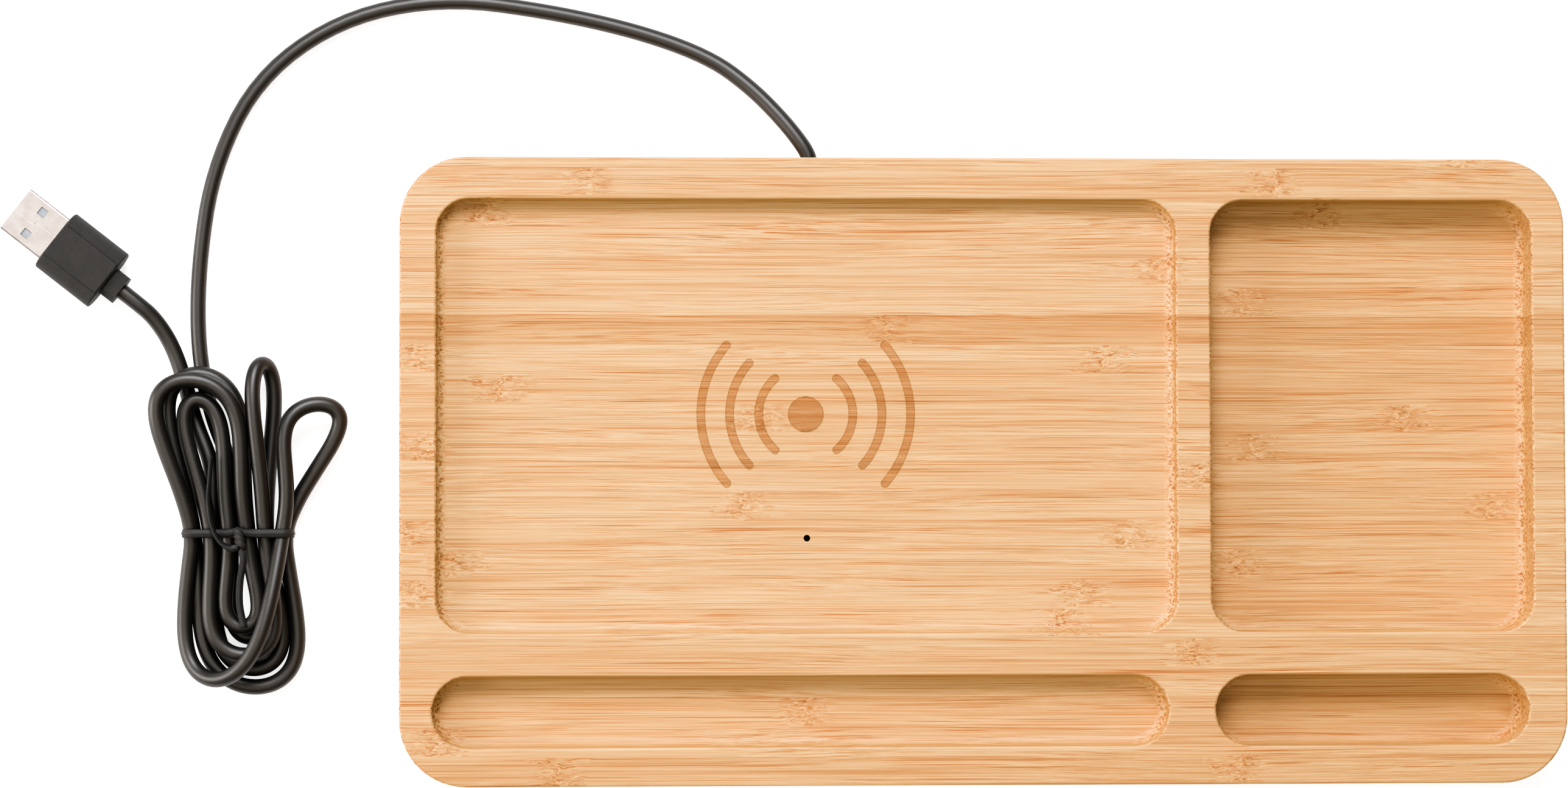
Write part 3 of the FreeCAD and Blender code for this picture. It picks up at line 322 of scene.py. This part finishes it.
def burnt_bamboo():
    """Bamboo that a laser has scorched in passes along X, darkest along the outline."""
    t = Tree("burnt_bamboo")
    color, roughness, height = bamboo_grain(t)
    x, y, z = t.millimetres()
    scan = t.span(t.math("SINE", t.product(y, 2 * math.pi / SCAN_PITCH)), 0.84, 1.0)
    pass_number = t.math("FLOOR", t.math("DIVIDE", y, SCAN_PITCH))
    ragged = t.chance(pass_number, 12.9898, spread=SCAN_SPREAD)
    edge = t.sum(t.add("ShaderNodeAttribute", attribute_name="edge").outputs["Fac"], t.product(ragged, 0.09))
    row = t.math("FLOOR", t.math("DIVIDE", y, 3 * SCAN_PITCH))
    uneven = t.span(t.chance(row, 78.233, spread=SCAN_SPREAD), 0.90, 1.06)
    patch = t.noise(t.vector(t.product(x, 0.12), t.product(y, 1.6), z), detail=3.0)

    burnt = t.mix(1.0, color, BURNT_TINT, "MULTIPLY")
    burnt = t.tinted(burnt, t.product(t.step(height, 0.50, 0.42), 0.45), DEEP_STREAK)
    burnt = t.mix(t.product(t.step(edge, 0.70, 0.92), 0.75), burnt, BURNT_EDGE)
    level = t.product(scan, uneven)
    shade = t.add("ShaderNodeCombineColor", {"Red": level, "Green": level, "Blue": level}).outputs[0]
    burnt = t.mix(1.0, burnt, shade, "MULTIPLY")
    cover = t.product(t.span(t.step(patch, 0.3, 0.62), 0.72, 1.0), t.step(edge, 0.98, 0.93))
    burnt = t.mix(cover, color, burnt)
    grooves = t.sum(height, t.product(scan, 3.0))
    return t.finish(burnt, t.sum(roughness, 0.15), t.bump(grooves, 0.6, GRAIN_RELIEF), Specular_IOR_Level=0.2)


# Moulded, rubber and metal parts

def moulded(name, color, roughness, grain, scale=900.0, specular=0.4, mottle=0.25, depth=0.00006, **constants):
    """Moulded plastic or rubber with a fine grain and a slight mottling."""
    t = Tree(name)
    speck = t.noise(t.place, scale, 3.0, 0.6)
    broad = t.noise(t.place, scale / 30, 3.0, 0.6)
    shade = t.mix(t.step(broad, 0.3, 0.7), times(color, 1 - mottle), times(color, 1 + mottle))
    shade = t.mix(t.product(t.step(speck, 0.5, 0.75), 0.3), shade, times(color, 1.35))
    rough = t.sum(roughness - 0.06, t.product(broad, 0.12))
    return t.finish(shade, rough, t.bump(speck, grain, depth), Specular_IOR_Level=specular, **constants)


BRUSH_SCALE = (60.0, 2500.0, 2500.0)


def metal(name, color, roughness):
    """Rolled or plated metal with fine lines and faint smudges."""
    t = Tree(name)
    stretched = t.add("ShaderNodeMapping", {"Vector": t.place, "Scale": BRUSH_SCALE}).outputs[0]
    lines = t.noise(stretched, 1.0, 3.0)
    smudge = t.noise(t.place, 260.0, 4.0, 0.65)
    shade = t.mix(t.step(smudge, 0.35, 0.7), times(color, 0.92), color)
    shade = t.mix(t.product(t.step(lines, 0.45, 0.65), 0.12), shade, times(color, 1.08))
    rough = t.sum(roughness - 0.05, t.product(smudge, 0.12))
    return t.finish(shade, rough, t.bump(lines, 0.15, 0.00002), Metallic=1.0)


# Middle of the overmould's front, the plug's turn, and the tab in the shell's seam, in mm
PLUG_FRONT = Vector((-222.8, 56.1, 4.3))
PLUG_ANGLE = math.radians(142)
TAB_START = 5.9
SEAM_ASIDE = -0.45
TAB_WIDTH = 0.7

NICKEL_DULL = (0.435, 0.395, 0.385)
NICKEL_BRIGHT = (0.505, 0.465, 0.460)
NICKEL_ROLLED = (0.40, 0.365, 0.355)
NICKEL_SPECK = (0.56, 0.52, 0.515)
SEAM_DARK = (0.20, 0.17, 0.15)


def plug_steel():
    """Nickel plate with rolling marks, smudges and the seam where the shell's ends interlock."""
    t = Tree("plug_steel")
    x, y, z = t.millimetres()
    from_x, from_y = t.minus(x, PLUG_FRONT.x), t.minus(y, PLUG_FRONT.y)
    along = t.sum(t.product(from_x, math.cos(PLUG_ANGLE)), t.product(from_y, math.sin(PLUG_ANGLE)))
    aside = t.sum(t.product(from_y, math.cos(PLUG_ANGLE)), t.product(from_x, -math.sin(PLUG_ANGLE)))
    jog = t.math("MULTIPLY_ADD", t.math("GREATER_THAN", along, TAB_START), TAB_WIDTH, SEAM_ASIDE)
    seam = t.step(t.distance(aside, jog), 0.09, 0.03)
    tab_end = t.product(t.step(t.distance(along, TAB_START), 0.09, 0.03),
                        t.step(t.distance(aside, SEAM_ASIDE + TAB_WIDTH / 2), 0.40, 0.36))
    line = t.product(t.math("MAXIMUM", seam, tab_end), t.math("GREATER_THAN", z, PLUG_FRONT.z))
    rolled = t.noise(t.vector(t.product(along, 0.35), t.product(aside, 14.0), z), detail=3.0, roughness=0.65)
    smudge = t.noise(t.place, 420.0, 4.0, 0.65)
    speck = t.noise(t.place, 2600.0, 3.0, 0.6)
    shade = t.mix(t.step(smudge, 0.35, 0.7), NICKEL_DULL, NICKEL_BRIGHT)
    shade = t.mix(t.product(t.step(rolled, 0.52, 0.72), 0.5), shade, NICKEL_ROLLED)
    shade = t.mix(t.product(t.step(speck, 0.58, 0.75), 0.35), shade, NICKEL_SPECK)
    shade = t.mix(t.product(line, 0.6), shade, SEAM_DARK)
    rough = t.sum(0.22, t.product(smudge, 0.12), t.product(rolled, 0.06))
    height = t.sum(t.product(rolled, 0.6), t.product(line, -3.0), t.product(speck, 0.4))
    return t.finish(shade, rough, t.bump(height, 0.35, 0.00003), Metallic=1.0)


# Mesh helpers

def mesh_piece(name, mesh, material, smooth):
    """A piece from a built mesh, riding on the part's only body."""
    data = bpy.data.meshes.new(name)
    bmesh.ops.recalc_face_normals(mesh, faces=mesh.faces)
    mesh.to_mesh(data)
    mesh.free()
    for face in data.polygons:
        face.use_smooth = smooth
    data.materials.append(material)
    piece = bpy.data.objects.new(name, data)
    scene.collection.objects.link(piece)
    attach(piece, "root")
    return piece


def join_rings(mesh, first, second):
    """Faces between two closed rings of points."""
    for j in range(len(first)):
        k = (j + 1) % len(first)
        mesh.faces.new((first[j], first[k], second[k], second[j]))


def curve_through(places, steps):
    """Points on a smooth line through the given places."""
    points = [Vector(p) for p in places]
    ends = [points[0] * 2 - points[1], *points, points[-1] * 2 - points[-2]]
    made = []
    for a, b, c, d in zip(ends, ends[1:], ends[2:], ends[3:]):
        for i in range(steps):
            s = i / steps
            made.append(0.5 * (2 * b + (c - a) * s + (2 * a - 5 * b + 4 * c - d) * s * s
                               + (3 * b - a - 3 * c + d) * s ** 3))
    made.append(points[-1])
    return made


def sweep(mesh, line, ups, outline, closed=False):
    """Carries a flat outline (across, up) along a line; ups gives the strip's own up at each point."""
    rings = []
    count = len(line)
    for i, point in enumerate(line):
        after = line[(i + 1) % count] if closed or i + 1 < count else point
        before = line[i - 1] if closed or i > 0 else point
        along = (after - before).normalized()
        side = along.cross(ups[i]).normalized()
        up = side.cross(along).normalized()
        shape = outline(i / (count - 1))
        rings.append([mesh.verts.new((point + side * a + up * b) * MM) for a, b in shape])
    for first, second in zip(rings, rings[1:] + rings[:1] if closed else rings[1:]):
        join_rings(mesh, first, second)
    if not closed:
        mesh.faces.new(rings[0][::-1])
        mesh.faces.new(rings[-1])


# Charging sign, burnt into the phone pocket's floor

SIGN_CENTRE = Vector((-42.9, 13.7))
SIGN_LEVEL = 15.02
SIGN_DOT = 4.4
SIGN_STROKE = 2.25

# Radius of each pair of arcs, and half its angle in degrees
SIGN_ARCS = [(25.2, 41.0), (18.3, 42.0), (11.3, 49.0)]
ARC_STEPS = 48
CAP_STEPS = 8
STROKE_ROWS = (-1, -0.78, -0.3, 0.3, 0.78, 1)
LEAST_HALF = 0.004
DOT_SIDES = 64
DOT_RINGS = (0.02, 0.5, 0.86, 0.93, 1.0)


def arc_spots(half_angle, cap):
    """Angles along a stroke, and how far each lies out in its round end."""
    ends = [math.cos(math.pi / 2 * i / CAP_STEPS) for i in range(CAP_STEPS)]
    spots = [(-half_angle - cap * beyond, beyond) for beyond in ends]
    spots += [(half_angle * (2 * i / ARC_STEPS - 1), 0.0) for i in range(ARC_STEPS + 1)]
    return spots + [(half_angle + cap * beyond, beyond) for beyond in reversed(ends)]


def charging_sign():
    mesh = bmesh.new()
    edge = mesh.verts.layers.float.new("edge")

    def vertex(way, reach, rim):
        x, y = math.cos(way) * reach, math.sin(way) * reach
        made = mesh.verts.new(Vector((SIGN_CENTRE.x + x, SIGN_CENTRE.y + y, SIGN_LEVEL)) * MM)
        made[edge] = rim
        return made

    for radius, half_angle in SIGN_ARCS:
        cap = math.degrees(SIGN_STROKE / 2 / radius)
        for turn in (0, 180):
            rows = []
            for angle, beyond in arc_spots(half_angle, cap):
                half = SIGN_STROKE / 2 * math.sqrt(max(0.0, 1 - beyond ** 2)) + LEAST_HALF
                way = math.radians(turn + angle)
                rows.append([vertex(way, radius + half * offset, max(abs(offset), beyond))
                             for offset in STROKE_ROWS])
            for first, second in zip(rows, rows[1:]):
                for j in range(len(first) - 1):
                    mesh.faces.new((first[j], first[j + 1], second[j + 1], second[j]))

    # Only the outer part of the dot counts as its edge
    rings = [[vertex(2 * math.pi * i / DOT_SIDES, SIGN_DOT * share, max(0, share * 3.4 - 2.4))
              for i in range(DOT_SIDES)] for share in DOT_RINGS]
    for first, second in zip(rings, rings[1:]):
        join_rings(mesh, first, second)
    mesh.faces.new(rings[0])
    mesh_piece("charging_sign", mesh, burnt_bamboo(), smooth=False)


# Cord: one line from the tray's back edge through the tied hank to the plug

CORD_DIAMETER = 3.8
FLOOR_LEVEL = 2.0
WAIST_LEVEL = 3.3
HANK = Vector((-178.8, -14.6, 0.0))
HANK_PITCH = 4.25
HANK_LAYER = 4.4
MIDDLE_COLUMN = 2.5

LEAD = [(-41.5, 75, 8.5), (-41.6, 76.4, 8.5), (-43.9, 80.1, 8.3), (-48.4, 85.8, 7.2), (-55.2, 93, 5.2),
        (-65, 100.6, 3.2), (-82, 107, 2), (-104, 111.9, 2), (-129.5, 115.2, 2), (-154.5, 110.2, 2),
        (-174.8, 95.6, 2), (-185.4, 73.5, 2), (-188.8, 50, 2), (-188.9, 30, 2), (-185.6, 14, 2.2),
        (-180.925, 2.7, 3.3), (-180.925, -6.6, 3.3)]

# Column and layer where each half turn ends, its reach, lean and swell, how far it rises and tilts
HALF_TURNS = [
    (3, 0, -25.0, 2.6, -7.0, 0, 0), (0, 0, 38.6, -5.5, 12.2, 1.0, 0), (5, 0, -37.1, 4.0, -11.2, 0, 0),
    (5, 1, 31.3, 8.7, 17.2, 0.57, 0), (0, 1, -35.2, -5.2, 5.0, 0.3, 2.1), (3, 1, 37.0, -7.4, -15.2, 1.06, 0),
    (2, 1, -22.5, 1.2, 7.2, 0, 0), (1, 1, 32.4, -5.4, 8.2, 0.27, 0), (4, 1, -29.4, 1.6, -9.6, 0, 0),
    (4, 0, 41.0, -0.6, -6.6, 0.5, 1.15), (1, 0, -32.6, 3.6, 10.0, 0, 0)]
FIRST_COLUMN = 2
LAST_COLUMN = 1
POINTS_PER_HALF_TURN = 12

TAIL = [(-185.175, -6.6, 3.3), (-185.175, 2.2, 3.3), (-189.6, 12.5, 2.2), (-191.9, 22, 2.0), (-195, 31, 2.2),
        (-199.2, 37.4, 3.2), (-203.1, 40.71, 4.3), (-207.04, 43.79, 4.3)]


def column_x(column):
    return (column - MIDDLE_COLUMN) * HANK_PITCH


def hank_points():
    points = []
    column, layer = FIRST_COLUMN, 0
    for end_column, end_layer, reach, lean, swell, rise, tilt in HALF_TURNS:
        middle = (column_x(column) + column_x(end_column)) / 2
        half = (column_x(column) - column_x(end_column)) / 2
        for i in range(POINTS_PER_HALF_TURN):
            angle = math.pi * i / POINTS_PER_HALF_TURN
            out = math.sin(angle)
            climbed = 1 - (1 - out) ** 2
            level = layer + (end_layer - layer) * (1 - math.cos(angle)) / 2 + rise * climbed
            level += tilt * out * math.cos(angle)
            points.append(HANK + Vector((
                middle + lean * out + math.cos(angle) * (half + swell * out ** 2),
                reach * out,
                WAIST_LEVEL + (FLOOR_LEVEL - WAIST_LEVEL) * climbed + level * HANK_LAYER)))
        column, layer = end_column, end_layer
    points.append(HANK + Vector((column_x(LAST_COLUMN), 0, WAIST_LEVEL)))
    return points


def cord(material):
    route = [Vector(p) for p in LEAD] + hank_points() + [Vector(p) for p in TAIL]
    data = bpy.data.curves.new("power_cord", "CURVE")
    data.dimensions = "3D"
    data.bevel_depth = CORD_DIAMETER / 2 * MM
    data.bevel_resolution = 6
    data.resolution_u = 6
    spline = data.splines.new("NURBS")
    spline.points.add(len(route) - 1)
    for point, place in zip(spline.points, route):
        point.co = (*(place * MM), 1.0)
    spline.order_u = 3
    spline.use_endpoint_u = True
    data.materials.append(material)
    piece = bpy.data.objects.new("power_cord", data)
    scene.collection.objects.link(piece)
    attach(piece, "root")
    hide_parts("cord_lead", "cord_hank", "cord_tail")
    return piece


# Twist tie round the hank's waist

TIE_HALF = 13.05
TIE_LOW = 0.95
TIE_HIGH = 10.35
TIE_CORNER = 2.6
CORNER_STEPS = 8
KNOT_LEVEL = TIE_HIGH + 0.8

# Width and thickness of the strip in each place
BAND_STRIP = (2.1, 0.95)
TWIST_STRIP = (1.75, 1.0)
TAIL_STRIP = (1.75, 0.85)

# Start and end of the twist, measured from the hank's middle, and how its two strips go round each other
TWIST_START = Vector((0.2, 0.7, KNOT_LEVEL - 0.1))
TWIST_END = Vector((0.9, -3.4, KNOT_LEVEL + 0.5))
TWIST_RADIUS = 0.85
TWIST_TURNS = 1.6
TWIST_STEPS = 32

# The loose ends, measured from the knot, and how far each comes to stand on edge, in degrees
UPPER_TAIL = [(0.8, -3.0, 0.3), (-1.6, -3.6, 0.5), (-4.4, -1.6, 0.5), (-6.2, 2.6, 0.4), (-6.9, 8, 0.2),
              (-6.6, 13, 0.1), (-6.2, 18.5, 0.2)]
LOWER_TAIL = [(0.9, -3.2, 0.3), (1.5, -6.5, 0.2), (0.7, -11.5, -0.4), (0.6, -17, -0.9), (1.7, -22.6, -1.0)]
TIE_TAILS = [(UPPER_TAIL, 70), (LOWER_TAIL, 12)]
TILT_STEPS = 10


def flat_strip(width, thickness):
    """Outline of a coated tie: a flat strip with a round wire along its middle."""
    half, thin = width / 2, thickness / 2
    upper = [(-half, 0.0), (-half * 0.8, thin * 0.7), (-half * 0.42, thin * 0.62), (-half * 0.2, thin),
             (half * 0.2, thin), (half * 0.42, thin * 0.62), (half * 0.8, thin * 0.7), (half, 0.0)]
    return upper + [(a, -b) for a, b in upper[-2:0:-1]]


def tie_band(mesh):
    loop = []
    right, high, low = TIE_HALF - TIE_CORNER, TIE_HIGH - TIE_CORNER, TIE_LOW + TIE_CORNER
    for x, z, start in ((right, high, 90), (right, low, 0), (-right, low, -90), (-right, high, -180)):
        for i in range(CORNER_STEPS + 1):
            way = math.radians(start - 90 * i / CORNER_STEPS)
            loop.append(HANK + Vector((x, 0, z)) + Vector((math.cos(way), 0, math.sin(way))) * TIE_CORNER)
    middle = HANK + Vector((0, 0, (TIE_LOW + TIE_HIGH) / 2))
    sweep(mesh, loop, [(p - middle).normalized() for p in loop], lambda s: flat_strip(*BAND_STRIP), closed=True)


def tie_twist(mesh):
    axis = (TWIST_END - TWIST_START).normalized()
    first = axis.cross(UP).normalized()
    second = first.cross(axis)
    for phase in (0.0, math.pi):
        line, ups = [], []
        for i in range(TWIST_STEPS + 1):
            share = i / TWIST_STEPS
            way = phase + share * 2 * math.pi * TWIST_TURNS
            out = first * math.cos(way) + second * math.sin(way)
            line.append(HANK + TWIST_START + (TWIST_END - TWIST_START) * share + out * TWIST_RADIUS)
            ups.append(out)
        sweep(mesh, line, ups, lambda s: flat_strip(*TWIST_STRIP))


def tie_tails(mesh):
    for places, tilt in TIE_TAILS:
        line = [HANK + UP * KNOT_LEVEL + p for p in curve_through(places, 8)]
        ups = []
        for i in range(len(line)):
            lean = math.radians(tilt * min(1.0, i / TILT_STEPS))
            ups.append(Vector((math.sin(lean), 0, math.cos(lean))))
        sweep(mesh, line, ups, lambda s: flat_strip(*TAIL_STRIP))


def tie_shoulders(mesh):
    """Where the band's two ends rise into the knot, narrowing on the way."""
    for side in (-1, 1):
        places = [(side * 6.5, 0.0, TIE_HIGH - 0.35), (side * 3.4, -0.05 * side, TIE_HIGH + 0.25),
                  (side * 1.3, 0.3, KNOT_LEVEL - 0.1), (0.1 - side * 0.3, 0.9, KNOT_LEVEL + 0.2)]
        line = [HANK + p for p in curve_through(places, 6)]
        sweep(mesh, line, [UP] * len(line), lambda s: flat_strip(1.9 - 0.4 * s, 0.9))


def twist_tie(material):
    mesh = bmesh.new()
    tie_band(mesh)
    tie_twist(mesh)
    tie_tails(mesh)
    tie_shoulders(mesh)
    piece = mesh_piece("twist_tie", mesh, material, smooth=True)
    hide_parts("hank_tie")
    return piece


# Materials of the solids

def dress(material, *nodes):
    for node in nodes:
        target = nodes_of[node]
        target.data.materials.clear()
        target.data.materials.append(material)


def look():
    """Dresses the solids that stay in view, and the hidden ones."""
    dress(bamboo(), "tray_body")
    dress(moulded("foot_rubber", (0.030, 0.030, 0.031), roughness=0.75, grain=0.5, scale=1400.0, specular=0.25),
          "foot_back_left", "foot_back_right", "foot_front_left", "foot_front_right")
    dress(moulded("cover_plastic", (0.035, 0.035, 0.036), roughness=0.58, grain=0.6, scale=1600.0),
          "charger_cover")
    dress(moulded("clamp_plastic", (0.05, 0.05, 0.052), roughness=0.55, grain=0.4), "cord_clamp")
    dress(metal("screw_steel", (0.62, 0.61, 0.60), roughness=0.28),
          "cover_screws", "board_screws", "clamp_screws")
    dress(moulded("board_laminate", (0.02, 0.17, 0.06), roughness=0.35, grain=0.25, scale=2600.0, specular=0.5),
          "circuit_board")
    dress(moulded("chip_resin", (0.022, 0.022, 0.023), roughness=0.6, grain=0.4, scale=3000.0),
          "controller_chip", "bridge_chips")
    dress(moulded("capacitor_ceramic", (0.42, 0.30, 0.19), roughness=0.45, grain=0.3, scale=3000.0),
          "resonant_capacitors", "input_capacitors")
    dress(moulded("led_resin", (0.012, 0.010, 0.009), roughness=0.35, grain=0.1, scale=2000.0, specular=0.2),
          "indicator_led")
    dress(moulded("ferrite", (0.05, 0.05, 0.055), roughness=0.6, grain=0.5, scale=2200.0), "ferrite_shield")
    dress(metal("coil_wire", (0.74, 0.34, 0.16), roughness=0.35), "charging_coil", "coil_leads")
    dress(moulded("foam", (0.09, 0.09, 0.09), roughness=0.9, grain=0.9, scale=1500.0, specular=0.1), "coil_pad")
    dress(moulded("cord_rubber", (0.022, 0.022, 0.022), roughness=0.6, grain=0.4, scale=1200.0), "cord_grommet")
    dress(moulded("wire_sheath", (0.46, 0.03, 0.022), roughness=0.4, grain=0.2, scale=1200.0), "power_wires")
    dress(moulded("plug_plastic", (0.052, 0.0485, 0.0465), roughness=0.54, grain=0.9, scale=5200.0,
                  specular=0.45, mottle=0.08, depth=0.00022), "plug_overmould")
    dress(plug_steel(), "plug_shell")
    dress(moulded("tongue_plastic", (0.30, 0.31, 0.325), roughness=0.5, grain=0.15, scale=1500.0,
                  specular=0.3, mottle=0.06), "plug_tongue")
    dress(metal("contact_gold", (0.85, 0.62, 0.27), roughness=0.25), "plug_contacts")


# Floor, lights and camera

FLOOR_HALF = 4.0
FLOOR_DROP = 0.0002
FLOOR_GLOW = 0.75
PAPER_GREY = (0.72, 0.72, 0.72)
PAPER_PALE = (0.75, 0.75, 0.75)
BACK_COLOR = (1.0, 1.04, 1.10)
FILL_COLOR = (1.0, 0.94, 0.84)
SKY_STRENGTH = 0.25

CAMERA_PLACE = (-0.1095, -0.0294, 1.160)
CAMERA_TURN = (2.401, -3.063, -0.124)
CAMERA_LENS = 109.9
SENSOR_WIDTH = 36.0

# The camera's response to light: the level shown as white, its bend and slope, and where the curve is set
WHITE_LEVEL = 1.29
RESPONSE_BEND = 0.6764
RESPONSE_SLOPE = 1.9
RESPONSE_TOP = 1.3339
RESPONSE_SHARES = (0.03, 0.08, 0.15, 0.25, 0.40, 0.60, 0.80)


def floor():
    mesh = bmesh.new()
    bmesh.ops.create_grid(mesh, x_segments=2, y_segments=2, size=FLOOR_HALF)
    data = bpy.data.meshes.new("floor")
    mesh.to_mesh(data)
    mesh.free()
    t = Tree("floor_paper")
    grain = t.noise(t.place, 300.0, 3.0)
    data.materials.append(t.finish(t.mix(grain, PAPER_GREY, PAPER_PALE), t.span(grain, 0.85, 0.95),
                                   Emission_Color=(1.0, 1.0, 1.0, 1.0), Emission_Strength=FLOOR_GLOW))
    ground = bpy.data.objects.new("floor", data)
    ground.location.z = -FLOOR_DROP
    scene.collection.objects.link(ground)


def area_light(name, place, target, size, power, color=(1, 1, 1)):
    data = bpy.data.lights.new(name, "AREA")
    data.shape = "DISK"
    data.size = size
    data.energy = power
    data.color = color
    lamp = bpy.data.objects.new(name, data)
    lamp.location = place
    lamp.rotation_euler = (Vector(target) - Vector(place)).to_track_quat("-Z", "Y").to_euler()
    scene.collection.objects.link(lamp)


def lights():
    area_light("back", (-0.15, 1.30, 1.66), (0, 0, 0), size=1.2, power=50.0, color=BACK_COLOR)
    area_light("left", (-1.70, 0.05, 0.70), (0, 0, 0), size=1.0, power=24.0)
    area_light("overhead", (-0.55, -0.75, 2.1), (-0.55, -0.75, 0), size=2.6, power=27.0, color=FILL_COLOR)
    world = bpy.data.worlds.new("studio")
    world.use_nodes = True
    background = world.node_tree.nodes["Background"]
    background.inputs["Color"].default_value = (*FILL_COLOR, 1.0)
    background.inputs["Strength"].default_value = SKY_STRENGTH
    scene.world = world


def camera():
    data = bpy.data.cameras.new("camera")
    data.sensor_fit = "HORIZONTAL"
    data.sensor_width = SENSOR_WIDTH
    data.lens = CAMERA_LENS
    data.clip_start = 0.01
    eye = bpy.data.objects.new("camera", data)
    eye.location = CAMERA_PLACE
    eye.rotation_euler = tuple(math.radians(angle) for angle in CAMERA_TURN)
    scene.collection.objects.link(eye)
    scene.camera = eye


def response(level):
    strong = (level / RESPONSE_BEND) ** RESPONSE_SLOPE
    return RESPONSE_TOP * strong / (1 + strong)


def camera_response():
    """A product photograph's contrast: shade is deeper and richer, and white is held at the paper's level."""
    settings = scene.view_settings
    settings.view_transform = "Standard"
    settings.use_curve_mapping = True
    mapping = settings.curve_mapping
    mapping.tone = "FILMLIKE"
    mapping.white_level = (WHITE_LEVEL,) * 3
    curve = mapping.curves[3]
    for share in RESPONSE_SHARES:
        curve.points.new(share, response(share * WHITE_LEVEL))
    mapping.update()


look()
charging_sign()
sheath = moulded("cord_sheath", (0.016, 0.0143, 0.0130), roughness=0.47, grain=0.12, scale=700.0, specular=1.0,
                 Specular_Tint=(1.0, 0.96, 0.925, 1.0))
dress(sheath, "inner_cord")
cord_piece = cord(sheath)
tie_piece = twist_tie(moulded("tie_plastic", (0.036, 0.033, 0.031), roughness=0.62, grain=0.4, scale=2400.0,
                              specular=0.6))
floor()
lights()
camera()
camera_response()
